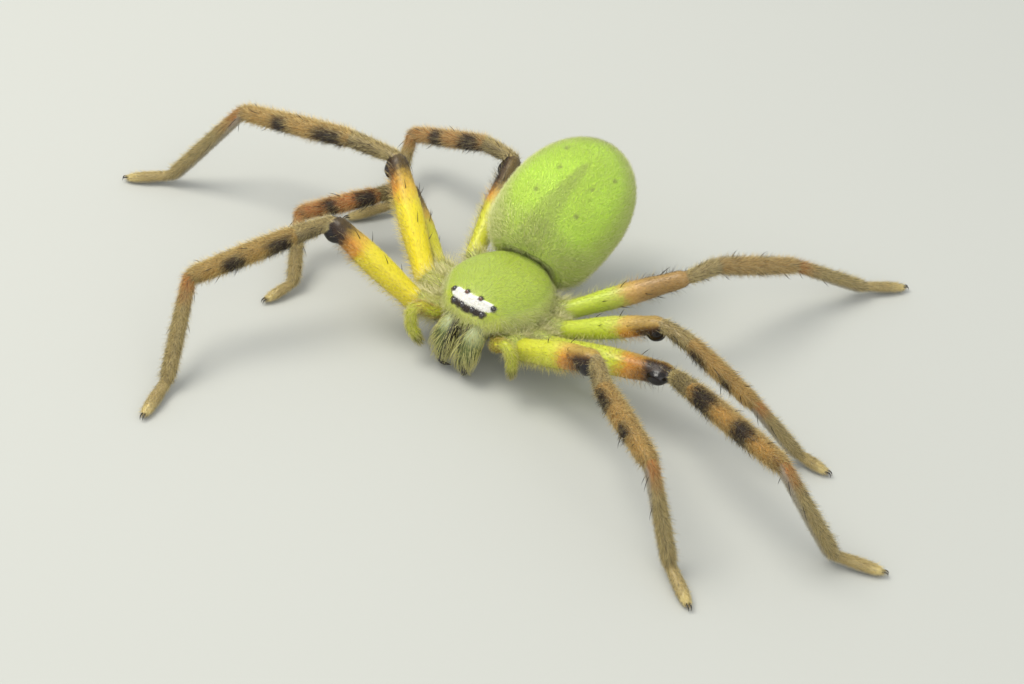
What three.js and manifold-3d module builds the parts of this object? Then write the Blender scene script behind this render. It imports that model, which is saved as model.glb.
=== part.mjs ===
// A huntsman spider at rest, life size, in millimetres with +Z up.
// The head looks along -Y and the spider's left side is +X. The soles stand on Z = 0.
// Every leg and palp is a chain of turned segments, parted by a thin slanted cut at each joint.

import * as THREE from "three";
import { mergeVertices } from "three/addons/utils/BufferGeometryUtils.js";
import Module from "manifold-3d";

const wasm = await Module();
wasm.setup();

// Driving sizes of the body. A place written once serves both sides, with X counted outwards.
const HANDS = { left: 1, right: -1 };
const GAP = 0.3; // between neighbouring pieces
const CARAPACE = {
  length: 8.6,
  width: 8.2,
  height: 2.6,
  margin: 4.15, // level of the rim above the ground
  rim: 0.45, // depth of the rim below that level
  head: { from: 0.1, to: 0.9 }, // where the head sets in, as shares of the half length forwards
  headNarrowing: 0.13, // share of its width that the head end loses
  headSquareness: 0.3, // how much squarer than an ellipse the head is, seen from above
  steepness: 0.3, // how squarely the dome falls to its ends: 0.5 is an ellipse
  flank: 0.42, // the same towards its sides, at the rear
  headFlank: 0.3, // and at the head
  flankChange: { from: -0.3, to: 0.7 }, // where the one turns into the other
};
const CORE = { centre: [0, 0.1, 3.55], half: [3.1, 3.7, 1.3] }; // the flesh inside the coxae
const STERNUM = { centre: [0, 0.2, 2.9], half: [1.9, 2.3, 0.9] };
const COXA = { radius: 0.92, inner: 1.7, level: 3.0, gather: 0.6 };
const MOUTH = { radius: 0.55, path: [[0.75, -1.6, 2.7], [0.55, -3.0, 2.3]] };
const PEDICEL = { radius: 0.45, path: [[0, 3.0, 3.1], [0, 6.0, 4.1]], gap: 0.2 };
const ABDOMEN = {
  centre: [-0.2, 8.25, 7.65],
  rear: 6.5, // from the centre to the rear end
  front: 5.8, // from the centre to the front end
  width: 9.8,
  height: 8.2,
  bluntness: 2.75, // of the front end, where 2 is an ellipse
  droop: 1, // how far the front end hangs below the axis
  pitch: 26, // degrees that the rear end is raised
  yaw: 3, // degrees that the rear end swings to the left
  roll: 16, // degrees that its back leans to the left
};
const WAIST = { centre: [0, 4.2, 3.5], radius: 1.3 }; // the hollow round the pedicel
const SPINNERETS = { count: 4, radius: 0.34, length: 1.15, ring: 0.42, root: [0, 5.3, -1.7], splay: 0.35 };
const CHELICERA = {
  path: [[1.12, -4.35, 3.4], [1.1, -4.95, 2.6], [1.04, -5.15, 1.6]],
  radii: [0.92, 0.92, 0.84, 0.74, 0.55], // of the core under the bristles
  sides: 12,
};
// The bristles of each chelicera hang in flat locks, in rows from its top to its tip.
// The first and last lock of a row stand some degrees round from its front, counted outwards.
const BRISTLES = {
  rows: [
    { along: 0.14, first: -20, last: 85, count: 4, length: 1.8 },
    { along: 0.42, first: -38, last: 100, count: 5, length: 1.75 },
    { along: 0.7, first: -40, last: 118, count: 6, length: 1.6 },
  ],
  radii: [0.26, 0.4, 0.34, 0.08], // half width from root to tip
  flatness: 0.6, // thickness as a share of the width
  sunk: 0.25, // how deep the axis of the root lies in the core
  lift: 0.16, // how far the axis stands proud of the core at the tip
  vary: 0.16, // share by which their lengths differ
  sides: 5,
  seed: 7,
};
// Each fang is folded across the tip of its chelicera, behind the bristles.
const FANG = {
  path: [[1.1, -5.2, 1.0], [1.02, -5.3, 0.52], [0.42, -4.95, 0.3]],
  radii: [0.32, 0.29, 0.2, 0.08],
  gap: 0.1,
};

// Eyes: place seen from above and radius of each lens, in two rows across the head.
const EYES = {
  AME: { x: 0.46, y: -4.03, radius: 0.27 },
  ALE: { x: 1.33, y: -3.92, radius: 0.26 },
  PME: { x: 0.64, y: -3.2, radius: 0.22 },
  PLE: { x: 1.86, y: -3.2, radius: 0.24 },
};
const EYE_SUNK = 0.35; // share of its radius that a lens is sunk below the carapace
const EYE_GAP = 0.06; // between a lens and its socket

// Leg segments, with their lengths for the four pairs and their diameters halfway, hair coat included.
const SEGMENTS = ["femur", "patella", "tibia", "metatarsus", "tarsus"];
const LENGTH = {
  femur: [8.5, 10.1, 8.6, 9.4],
  patella: [2.9, 3.9, 2.5, 3.1],
  tibia: [8.5, 10.6, 6.5, 8.8],
  metatarsus: [7.9, 8.9, 5.9, 7.2],
  tarsus: [3.3, 3.3, 2.3, 3.3],
};
const DIAMETER = {
  femur: [2.3, 2.3, 1.95, 1.95],
  patella: [1.4, 1.4, 1.3, 1.3],
  tibia: [1.7, 1.7, 1.5, 1.5],
  metatarsus: [1.3, 1.3, 1.2, 1.2],
  tarsus: [1.15, 1.15, 1.1, 1.1],
};
// Thickness along a segment, from its near joint to its far one, as shares of its diameter.
const PROFILE = {
  femur: [0.74, 0.92, 1.0, 0.93, 0.76],
  patella: [0.84, 0.97, 1.05],
  tibia: [0.9, 1.01, 1.0, 0.94, 0.85],
  metatarsus: [0.92, 0.98, 1.02, 1.0],
  tarsus: [0.96, 1.0, 1.1, 0.98],
};
// The knob under the far end of each femur: its radius, how far before the end and how far below the axis it is.
const KNOB = { radius: 0.58, before: 0.6, below: 0.62 };
const PATELLA_LIFT = 0.38; // how far its near end lies towards the outside of the bend
const ANKLE = 0.78; // height of the joint between metatarsus and tarsus
const TOE = 0.35; // height of the tarsus axis at its tip

// Facets round and along the rounded bodies, and round the limbs.
const FACETS = { carapace: [28, 18], abdomen: [32, 22], core: [14, 8], lens: [8, 6] };
const SIDES = 10; // round a leg
const THIN_SIDES = 8; // and round a thinner limb
const WELD = 1e-4; // vertices nearer than this are one

// Pose of each leg: its hip, then for each segment how many degrees it points ahead of straight out
// and, down to the tibia, how many degrees it rises. The last two segments come down to the ground.
const POSE = {
  left: [
    { hip: [4.7, -3.0, 3.4], ahead: [15, 38, 32, 12, 34], rise: [27, 8, 3] },
    { hip: [5.9, -1.2, 3.2], ahead: [-5, 29, 21, -30, -21], rise: [13, 24, 7.5] },
    { hip: [5.7, 0.9, 3.4], ahead: [-8, 0, 5, -38, -4], rise: [25.5, 3, -16.5] },
    { hip: [4.6, 2.8, 3.6], ahead: [-37, -75, -71, -56, -50], rise: [24, -3, -20.5] },
  ],
  right: [
    { hip: [4.9, -3.8, 3.4], ahead: [17, 62, 62, 115, 107], rise: [33, 1, -12] },
    { hip: [5.95, -1.5, 3.5], ahead: [-32, 4, 7, 38, 39], rise: [31, 6, -9] },
    { hip: [6.2, 0.6, 3.3], ahead: [-33, 66, 50, 127, 78], rise: [11, 2, -10] },
    { hip: [4.8, 3.1, 3.8], ahead: [-70, -13, -5, 115, 59], rise: [20, -2, -21] },
  ],
};
// Joints of each palp, from its root to its tip, and its thickness on the way.
const PALP = {
  left: [[2.95, -4.1, 3.5], [3.9, -4.85, 4.6], [4.75, -5.1, 5.1], [5.2, -5.05, 4.1], [5.2, -5.0, 2.6]],
  right: [[2.95, -4.6, 3.9], [3.3, -5.2, 4.7], [3.85, -5.75, 4.2], [3.6, -6.0, 2.9], [2.8, -6.0, 2.1]],
  radii: [0.45, 0.46, 0.47, 0.47, 0.46, 0.46, 0.44, 0.4, 0.34],
  inner: [2.0, -2.4, 2.9], // where its root springs from the mouth
};

const COLOUR = {
  carapace: 0xa9b83c,
  abdomen: 0x9ab82f,
  chelicera: 0x8f9a5a,
  palp: 0xb0a43c,
  femur: 0xd9c22c,
  patella: 0x8a7a55,
  tibia: 0xa4642c,
  metatarsus: 0x7a5a38,
  tarsus: 0xa8906c,
  fang: 0x17100c,
  eye: 0x0c0a0a,
  amber: 0x5a3412,
};

const ROUGHNESS = {
  carapace: 0.45,
  abdomen: 0.5,
  chelicera: 0.55,
  palp: 0.55,
  femur: 0.55,
  patella: 0.6,
  tibia: 0.65,
  metatarsus: 0.7,
  tarsus: 0.75,
  fang: 0.15,
  eye: 0.08,
  amber: 0.1,
};

const UP = new THREE.Vector3(0, 0, 1);
const ACROSS = new THREE.Vector3(1, 0, 0);
const spider = new THREE.Group();

const { clamp, degToRad, lerp, radToDeg, seededRandom, smoothstep } = THREE.MathUtils;
const vector = (place) => new THREE.Vector3(...place);
const onSide = (place, side) => new THREE.Vector3(place[0] * side, place[1], place[2]);

// A closed geometry as a solid that can be joined and cut.
function solid(geometry) {
  const bare = new THREE.BufferGeometry();
  bare.setAttribute("position", geometry.getAttribute("position"));
  if (geometry.index) bare.setIndex(geometry.index);
  const merged = mergeVertices(bare, WELD);
  return new wasm.Manifold(
    new wasm.Mesh({
      numProp: 3,
      vertProperties: new Float32Array(merged.attributes.position.array),
      triVerts: new Uint32Array(merged.index.array),
    }),
  );
}

// The largest closed surface of a solid, without scraps or sealed hollows.
function largest(body) {
  const pieces = body.decompose();
  return pieces.reduce((best, piece) => (piece.volume() > best.volume() ? piece : best));
}

function fused(solids) {
  return largest(solids.reduce((sum, next) => sum.add(next)));
}

// Puts a solid into the spider as a named mesh of its own.
function addNode(name, body, finish) {
  const { vertProperties, triVerts } = largest(body).getMesh();
  const geometry = new THREE.BufferGeometry();
  geometry.setAttribute("position", new THREE.BufferAttribute(vertProperties, 3));
  geometry.setIndex(new THREE.BufferAttribute(triVerts, 1));
  geometry.computeVertexNormals();
  const look = { color: COLOUR[finish], roughness: ROUGHNESS[finish], metalness: 0 };
  const mesh = new THREE.Mesh(geometry, new THREE.MeshStandardMaterial(look));
  mesh.name = name;
  spider.add(mesh);
}

// Moves every vertex of a geometry by a function of its place.
function reshaped(geometry, move) {
  const position = geometry.getAttribute("position");
  const point = new THREE.Vector3();
  for (let i = 0; i < position.count; i++) {
    point.fromBufferAttribute(position, i);
    move(point);
    position.setXYZ(i, point.x, point.y, point.z);
  }
  return geometry;
}

// A limb along a path through its joints, with a rounded end past each end joint. Its section is
// round, or flattened along the reference direction, which is any that the path never runs along.
function limb(points, radii, { sides = SIDES, reference = UP, flatness = 1 } = {}) {
  const bent = points.length > 2;
  const path = bent ? new THREE.CatmullRomCurve3(points) : new THREE.LineCurve3(...points);
  const length = path.getLength();
  const first = radii[0];
  const last = radii[radii.length - 1];
  const corner = Math.SQRT1_2;
  const outline = [
    [0, -first],
    [first * corner, -first * corner],
    ...radii.map((radius, i) => [radius, (length * i) / (radii.length - 1)]),
    [last * corner, length + last * corner],
    [0, length + last],
  ].map(([across, along]) => new THREE.Vector2(across, along));
  const shape = reshaped(new THREE.LatheGeometry(outline, sides), (point) => {
    const share = clamp(point.y / length, 0, 1);
    const along = path.getTangentAt(share);
    const side = new THREE.Vector3().crossVectors(along, reference).normalize();
    const back = new THREE.Vector3().crossVectors(side, along);
    const { x, z } = point;
    const past = point.y - share * length;
    point.copy(path.getPointAt(share)).addScaledVector(along, past);
    point.addScaledVector(side, x).addScaledVector(back, z * flatness);
  });
  return solid(shape);
}

// Keeps the part of a solid on one side of a plane through a point, half a gap away from it.
function trimmed(body, point, facing, gap = GAP) {
  return body.trimByPlane(facing.toArray(), point.dot(facing) + gap / 2);
}

// The direction of a segment that points some degrees ahead of straight out and rises some degrees.
function heading(side, ahead, rise) {
  const level = Math.cos(degToRad(rise));
  const outwards = side * Math.cos(degToRad(ahead)) * level;
  return new THREE.Vector3(outwards, -Math.sin(degToRad(ahead)) * level, Math.sin(degToRad(rise)));
}

// The joints of one leg from hip to toe, with the last two segments let down to their heights.
function legJoints(pose, side, pair) {
  const landing = { metatarsus: ANKLE, tarsus: TOE };
  const joints = [onSide(pose.hip, side)];
  SEGMENTS.forEach((segment, i) => {
    const from = joints[i];
    const length = LENGTH[segment][pair];
    const lands = segment in landing;
    const rise = lands ? radToDeg(Math.asin((landing[segment] - from.z) / length)) : pose.rise[i];
    joints.push(from.clone().addScaledVector(heading(side, pose.ahead[i], rise), length));
  });
  return joints;
}

// The slanted plane between two limbs that meet at a joint.
function mitre(before, joint, after) {
  const into = joint.clone().sub(before).normalize();
  const out = after.clone().sub(joint).normalize();
  return into.add(out).normalize();
}

// The way to the outside of the bend between two limbs that meet at a joint.
function bendOutside(before, joint, after) {
  const into = joint.clone().sub(before).normalize();
  const out = after.clone().sub(joint).normalize();
  return into.sub(out).normalize();
}

// Half width of the carapace at a share of its half length: the head is narrower than the thorax.
function carapaceHalfWidth(share) {
  const { width, head, headNarrowing, headSquareness } = CARAPACE;
  const headward = smoothstep(-share, head.from, head.to);
  const ring = Math.sqrt(Math.max(0, 1 - share * share)) ** (1 - headSquareness * headward);
  return (width / 2) * ring * (1 - headNarrowing * headward);
}

// Height of the carapace above its rim at a share of its half length and of its half width there.
function carapaceRise(share, across) {
  const { height, steepness, flank, headFlank, flankChange } = CARAPACE;
  const lengthwise = Math.max(0, 1 - share * share) ** steepness;
  const fall = lerp(flank, headFlank, smoothstep(-share, flankChange.from, flankChange.to));
  return height * lengthwise * Math.max(0, 1 - across * across) ** fall;
}

// The carapace, or with a growth the room that its neighbours leave for it.
function carapace(growth = 0) {
  const { length, margin, rim } = CARAPACE;
  const shape = reshaped(new THREE.SphereGeometry(1, ...FACETS.carapace), (point) => {
    const share = point.y;
    const ring = Math.hypot(point.x, point.z);
    const across = ring > 0 ? clamp(point.x / ring, -1, 1) : 0;
    const above = carapaceRise(share, across) + growth * Math.sqrt(ring);
    const below = ring > 0 ? (point.z / ring) * (rim + growth) * Math.sqrt(ring) : 0;
    point.x = across * (carapaceHalfWidth(share) + growth * ring);
    point.y = share * (length / 2 + growth);
    point.z = margin + (point.z > 0 ? above : below);
  });
  return solid(shape);
}

// The point of the carapace that lies under a place seen from above.
function onCarapace(x, y) {
  const share = y / (CARAPACE.length / 2);
  const rise = carapaceRise(share, x / carapaceHalfWidth(share));
  return new THREE.Vector3(x, y, CARAPACE.margin + rise);
}

// A sphere stretched to three half axes.
function ellipsoid({ centre, half }) {
  return solid(new THREE.SphereGeometry(1, ...FACETS.core).scale(...half).translate(...centre));
}

function ball(centre, radius) {
  return solid(new THREE.SphereGeometry(radius, ...FACETS.lens).translate(...centre));
}

// Every eye, leg and palp with its name and its place.
const eyes = [];
const legs = [];
const palps = [];
for (const [hand, side] of Object.entries(HANDS)) {
  for (const [row, { x, y, radius }] of Object.entries(EYES)) {
    const centre = onCarapace(side * x, y);
    const inwards = new THREE.Vector3(0, 0, CARAPACE.margin).sub(centre).normalize();
    centre.addScaledVector(inwards, radius * EYE_SUNK);
    eyes.push({ name: `eye_${row}_${hand}`, centre, radius, finish: row === "PME" ? "amber" : "eye" });
  }
  POSE[hand].forEach((pose, pair) => {
    const joints = legJoints(pose, side, pair);
    const inner = new THREE.Vector3(side * COXA.inner, joints[0].y * COXA.gather, COXA.level);
    legs.push({ name: `leg${pair + 1}_${hand}`, pair, joints, inner });
  });
  const joints = PALP[hand].map((place) => onSide(place, side));
  palps.push({ name: `palp_${hand}`, joints, inner: onSide(PALP.inner, side) });
}

function coxa({ joints, inner, pair }) {
  const end = (DIAMETER.femur[pair] * PROFILE.femur[0]) / 2;
  const body = limb([inner, joints[0]], [COXA.radius, COXA.radius, end], { sides: THIN_SIDES });
  return trimmed(body, joints[0], mitre(inner, joints[0], joints[1]).negate());
}

// The knob of the femur from one joint to the next, on the side towards which the leg bends.
function knob(from, to, after) {
  const ahead = to.clone().sub(from).normalize();
  const below = after.clone().sub(to).projectOnPlane(ahead).normalize();
  const centre = to.clone().addScaledVector(ahead, -KNOB.before).addScaledVector(below, KNOB.below);
  return ball(centre, KNOB.radius);
}

function legSegment({ joints, inner, pair }, index) {
  const segment = SEGMENTS[index];
  const radii = PROFILE[segment].map((share) => (share * DIAMETER[segment][pair]) / 2);
  const [from, to] = [joints[index], joints[index + 1]];
  const before = index === 0 ? inner : joints[index - 1];
  const start = from.clone();
  if (segment === "patella") start.addScaledVector(bendOutside(before, from, to), PATELLA_LIFT);
  let body = limb([start, to], radii);
  if (segment === "femur") body = body.add(knob(from, to, joints[index + 2]));
  body = trimmed(body, from, mitre(before, from, to));
  if (index < SEGMENTS.length - 1) {
    body = trimmed(body, to, mitre(from, to, joints[index + 2]).negate());
  }
  return body.trimByPlane(UP.toArray(), 0);
}

// The carapace with the mouth parts, the plate under it and the coxae, less the eye sockets.
function cephalothorax() {
  const mouth = Object.values(HANDS).map((side) => {
    const path = MOUTH.path.map((place) => onSide(place, side));
    return limb(path, [MOUTH.radius, MOUTH.radius], { sides: THIN_SIDES });
  });
  const carried = [...mouth, ...palps.map(palpRoot), ...legs.map(coxa)];
  const body = fused([carapace(), ellipsoid(CORE), ellipsoid(STERNUM), ...carried]);
  const sockets = eyes.map(({ centre, radius }) => ball(centre, radius + EYE_GAP));
  return sockets.reduce((left, socket) => left.subtract(socket), body);
}

// The abdomen along +Y from its front end, egg shaped, then raised and swung about its centre.
function abdomen() {
  const shape = reshaped(new THREE.SphereGeometry(1, ...FACETS.abdomen), (point) => {
    const share = point.y;
    const reach = share > 0 ? ABDOMEN.rear : ABDOMEN.front;
    const power = share > 0 ? 2 : ABDOMEN.bluntness;
    const ring = Math.hypot(point.x, point.z);
    const girth = Math.max(0, 1 - Math.abs(share) ** power) ** (1 / power);
    const wider = ring > 0 ? girth / ring : 0;
    const sag = share < 0 ? ABDOMEN.droop * share * share : 0;
    const level = (point.z * wider * ABDOMEN.height) / 2 - sag;
    point.set((point.x * wider * ABDOMEN.width) / 2, share * reach, level);
  });
  const egg = solid(shape.applyMatrix4(abdomenFrame()));
  const hollowed = egg.subtract(ball(WAIST.centre, WAIST.radius)).subtract(carapace(GAP));
  return clearOf(hollowed, trunk, behind());
}

function abdomenFrame() {
  const turn = new THREE.Euler(degToRad(ABDOMEN.pitch), degToRad(ABDOMEN.roll), -degToRad(ABDOMEN.yaw), "ZXY");
  return new THREE.Matrix4().makeRotationFromEuler(turn).setPosition(vector(ABDOMEN.centre));
}

// The way that the rear end of the abdomen points.
function behind() {
  return new THREE.Vector3(0, 1, 0).transformDirection(abdomenFrame());
}

// A ring of short cones round a middle one, at the rear end of the abdomen.
function spinnerets() {
  const { count, radius, length, ring, root, splay } = SPINNERETS;
  const frame = abdomenFrame();
  const cone = (offset) => {
    const from = vector(root).add(offset);
    const to = from.clone().addScaledVector(offset, splay).add(new THREE.Vector3(0, length, 0));
    const path = [from.applyMatrix4(frame), to.applyMatrix4(frame)];
    return limb(path, [radius, radius, radius / 2], { sides: THIN_SIDES });
  };
  const cones = [cone(new THREE.Vector3())];
  for (let i = 0; i < count; i++) {
    const angle = (2 * Math.PI * (i + 0.5)) / count;
    cones.push(cone(new THREE.Vector3(ring * Math.cos(angle), 0, ring * Math.sin(angle))));
  }
  return clearOf(fused(cones), belly, behind());
}

// The core of a chelicera under its locks of bristles.
function chelicera(side) {
  const path = CHELICERA.path.map((place) => onSide(place, side));
  const core = limb(path, CHELICERA.radii, { sides: CHELICERA.sides });
  const body = fused([core, ...bristles(side, new THREE.CatmullRomCurve3(path))]);
  const outwards = new THREE.Vector3(side, 0, 0);
  return trimmed(body, new THREE.Vector3(), outwards).subtract(carapace(GAP));
}

// Rows of flat locks, each rooted in the core and hanging down along it past its tip.
function bristles(side, axis) {
  const { rows, radii, flatness, sunk, lift, vary, sides, seed } = BRISTLES;
  const span = axis.getLength();
  const locks = [];
  seededRandom(seed);
  for (const { along, first, last, count, length } of rows) {
    for (let i = 0; i < count; i++) {
      const angle = degToRad(lerp(first, last, i / (count - 1))) * side;
      const out = new THREE.Vector3(Math.sin(angle), -Math.cos(angle), 0);
      const reach = length * (1 + vary * (seededRandom() - 1 / 2));
      const stops = [0, 0.5, 1].map((share) => {
        const stop = along + (share * reach) / span;
        const end = Math.min(stop, 1);
        const place = axis.getPointAt(end).addScaledVector(axis.getTangentAt(end), (stop - end) * span);
        return place.addScaledVector(out, coreRadius(end) + lerp(-sunk, lift, Math.sqrt(share)));
      });
      locks.push(limb(stops, radii, { sides, flatness, reference: out }));
    }
  }
  return locks;
}

// Radius of the core of a chelicera at a share of its length.
function coreRadius(share) {
  const steps = share * (CHELICERA.radii.length - 1);
  const step = Math.min(Math.floor(steps), CHELICERA.radii.length - 2);
  return lerp(CHELICERA.radii[step], CHELICERA.radii[step + 1], steps - step);
}

function fang(side, jaw) {
  const path = FANG.path.map((place) => onSide(place, side));
  const body = limb(path, FANG.radii, { sides: THIN_SIDES });
  return clearOf(body, jaw, path[1].clone().sub(path[0]), FANG.gap);
}

// The root of a palp, which stays with the mouth, and the palp beyond it.
function palpRoot({ joints, inner }) {
  const [thickness] = PALP.radii;
  const body = limb([inner, joints[0]], [thickness, thickness], { sides: THIN_SIDES });
  return trimmed(body, joints[0], mitre(inner, joints[0], joints[1]).negate());
}

function palp({ joints, inner }) {
  const body = limb(joints, PALP.radii, { sides: THIN_SIDES, reference: ACROSS });
  return trimmed(body, joints[0], mitre(inner, joints[0], joints[1]));
}

// The narrow waist between the two halves of the body.
function pedicel() {
  const [from, to] = PEDICEL.path.map(vector);
  const backwards = to.clone().sub(from);
  const body = limb([from, to], [PEDICEL.radius, PEDICEL.radius]);
  const freed = clearOf(body, trunk, backwards, PEDICEL.gap);
  return clearOf(freed, belly, backwards.negate(), PEDICEL.gap);
}

// A solid less its neighbour, with room left between the two where it runs away from the neighbour.
function clearOf(body, neighbour, away, gap = GAP) {
  const along = away.clone().normalize();
  const side = new THREE.Vector3().crossVectors(along, UP).normalize();
  const back = new THREE.Vector3().crossVectors(side, along);
  const leanings = [side, back, side.clone().negate(), back.clone().negate()];
  const steps = [along, ...leanings.map((leaning) => leaning.add(along))];
  const copies = steps.map((step) => neighbour.translate(step.setLength(gap).toArray()));
  return largest(copies.reduce((left, copy) => left.subtract(copy), body.subtract(neighbour)));
}

// Assembly: each named piece is cut back from the neighbour that carries it.
const trunk = cephalothorax();
const belly = abdomen();

addNode("cephalothorax", trunk, "carapace");
addNode("abdomen", belly, "abdomen");
addNode("pedicel", pedicel(), "carapace");
addNode("spinnerets", spinnerets(), "palp");
for (const { name, centre, radius, finish } of eyes) {
  addNode(name, ball(centre, radius), finish);
}
for (const [hand, side] of Object.entries(HANDS)) {
  const jaw = chelicera(side);
  addNode(`chelicera_${hand}`, jaw, "chelicera");
  addNode(`fang_${hand}`, fang(side, jaw), "fang");
}
for (const each of palps) {
  addNode(each.name, palp(each), "palp");
}
for (const leg of legs) {
  SEGMENTS.forEach((segment, index) => {
    addNode(`${leg.name}_${segment}`, legSegment(leg, index), segment);
  });
}

// The model stands on the middle of its box.
const box = new THREE.Box3().setFromObject(spider);
const centre = box.getCenter(new THREE.Vector3());
spider.position.set(-centre.x, -centre.y, -box.min.z);

export default spider;
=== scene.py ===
# The looks of a huntsman spider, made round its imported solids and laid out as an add-on.
# The head looks along -Y, the spider's left side is +X, and the soles stand on Z = 0.

import math

import bpy
import numpy as np
from mathutils import Matrix, Vector, noise
from mathutils.bvhtree import BVHTree


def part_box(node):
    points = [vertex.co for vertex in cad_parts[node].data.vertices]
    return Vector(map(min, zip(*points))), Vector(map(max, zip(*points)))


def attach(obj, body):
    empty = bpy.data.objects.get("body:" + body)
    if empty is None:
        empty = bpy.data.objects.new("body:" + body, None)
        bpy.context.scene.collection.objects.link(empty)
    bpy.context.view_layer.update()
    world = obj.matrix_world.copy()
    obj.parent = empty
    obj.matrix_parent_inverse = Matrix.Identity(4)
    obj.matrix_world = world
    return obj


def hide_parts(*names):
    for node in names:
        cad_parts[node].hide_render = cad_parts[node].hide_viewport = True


bl_info = {
    "name": "Huntsman spider looks",
    "version": (1, 0, 0),
    "blender": (4, 5, 0),
    "location": "3D View > Sidebar > Spider",
    "description": "Skin, coat, eyes, claws and stage of a huntsman spider",
    "category": "Object",
}

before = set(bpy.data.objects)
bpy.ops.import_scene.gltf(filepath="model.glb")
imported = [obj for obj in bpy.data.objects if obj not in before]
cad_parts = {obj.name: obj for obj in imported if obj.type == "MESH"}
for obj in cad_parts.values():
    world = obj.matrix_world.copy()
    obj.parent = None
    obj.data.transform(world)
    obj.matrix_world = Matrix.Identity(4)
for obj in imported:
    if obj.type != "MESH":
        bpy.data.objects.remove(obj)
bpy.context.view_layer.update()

MM = 0.001
HANDS = {"left": 1, "right": -1}
SEGMENTS = ("femur", "patella", "tibia", "metatarsus", "tarsus")
RNG_SEED = 11

# The body, in millimetres from the middle of the carapace at the level of the ground. A share runs from -1 at
# the front of a part to 1 at its rear.
CARAPACE_LENGTH = 8.6
CARAPACE_WIDTH = 8.2
CARAPACE_HEIGHT = 2.6
MARGIN_LEVEL = 4.15
RIM_DEPTH = 0.45
HEAD_FROM, HEAD_TO = 0.1, 0.9
HEAD_NARROWING = 0.13
HEAD_SQUARENESS = 0.3
END_STEEPNESS = 0.3
FLANK_STEEPNESS, HEAD_FLANK_STEEPNESS = 0.42, 0.3
FLANK_FROM, FLANK_TO = -0.3, 0.7
CORE = {"centre": (0, 0.1, 3.55), "half": (3.05, 3.65, 1.25)}
STERNUM = {"centre": (0, 0.2, 2.9), "half": (1.85, 2.25, 0.85)}
COXA_INNER, COXA_LEVEL, COXA_GATHER = 1.7, 3.0, 0.6
COXA_RADIUS = 0.84
MOUTH = ((0.75, -1.6, 2.7), (0.55, -3.0, 2.3))
MOUTH_RADIUS = 0.5
PEDICEL = ((0, 2.6, 3.2), (0, 6.4, 4.3))
PEDICEL_RADIUS = 0.42
ABDOMEN = {
    "centre": (-0.2, 8.25, 7.65),
    "rear": 6.5,
    "front": 5.8,
    "width": 9.8,
    "height": 8.2,
    "bluntness": 2.75,
    "droop": 1.0,
    "pitch": 26,
    "yaw": 3,
    "roll": 16,
}
# The hollow in the front of the abdomen that the waist runs into, and its room behind the head plate.
WAIST_CENTRE, WAIST_RADIUS = (0, 4.2, 3.5), 1.25
ABDOMEN_ROOM = 0.42
# The midline groove of the head plate, from which faint rays spread.
GROOVE_DEPTH, GROOVE_WIDTH, RAY_DEPTH, RAY_CENTRE, RAY_COUNT = 0.16, 0.16, 0.035, 1.3, 10
SPINNERETS = {"root": (0, 5.3, -1.7), "length": 1.1, "splay": 0.35, "radii": (0.3, 0.3, 0.16)}
SPINNERET_PLACES = ((0.3, 0.3), (0.3, -0.3), (0.12, 0))
CHELICERA = ((1.12, -4.35, 3.4), (1.1, -4.95, 2.6), (1.04, -5.15, 1.6))
CHELICERA_RADII = (0.9, 0.92, 0.88, 0.78, 0.55)
PALP = {
    "left": ((2.0, -2.4, 2.9), (2.95, -4.1, 3.5), (3.9, -4.85, 4.6), (4.75, -5.1, 5.1), (5.2, -5.05, 4.1),
             (5.2, -5.0, 2.6)),
    "right": ((2.0, -2.4, 2.9), (2.95, -4.6, 3.9), (3.3, -5.2, 4.7), (3.85, -5.75, 4.2), (3.6, -6.0, 2.9),
              (2.8, -6.0, 2.1)),
}
PALP_RADII = (0.38, 0.4, 0.39, 0.4, 0.4, 0.31)
# The knob under the far end of each femur: its radius, its length over its width, its place along the leg,
# how far below the axis it is, and how much straight down counts beside the side towards which the leg bends.
KNOB_RADIUS, KNOB_STRETCH, KNOB_PLACE, KNOB_BELOW, KNOB_SAG = 0.56, 1.4, 1.92, 0.72, 0.45
# How far the solids stand above the skin, since they include the coat.
COAT_DEPTH = {"femur": 0.06, "patella": 0.1, "tibia": 0.14, "metatarsus": 0.14, "tarsus": 0.16}
ABDOMEN_COAT = 0.12
# The grain of the wrapped skin, which keeps it under 200,000 triangles.
VOXEL = 0.157
# Skin further than this from every named surface belongs to the underside of the trunk.
NEAR_SKIN = 0.35


def srgb(text):
    """Linear colour of a hexadecimal one."""
    parts = [int(text[i : i + 2], 16) / 255 for i in (0, 2, 4)]
    return tuple(p / 12.92 if p <= 0.04045 else ((p + 0.055) / 1.055) ** 2.4 for p in parts)


def colour_prop(name, text, description):
    return bpy.props.FloatVectorProperty(
        name=name, description=description, subtype="COLOR", size=3, min=0, max=1, default=srgb(text)
    )


def number_prop(name, description, default, **more):
    return bpy.props.FloatProperty(name=name, description=description, default=default, **more)


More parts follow.
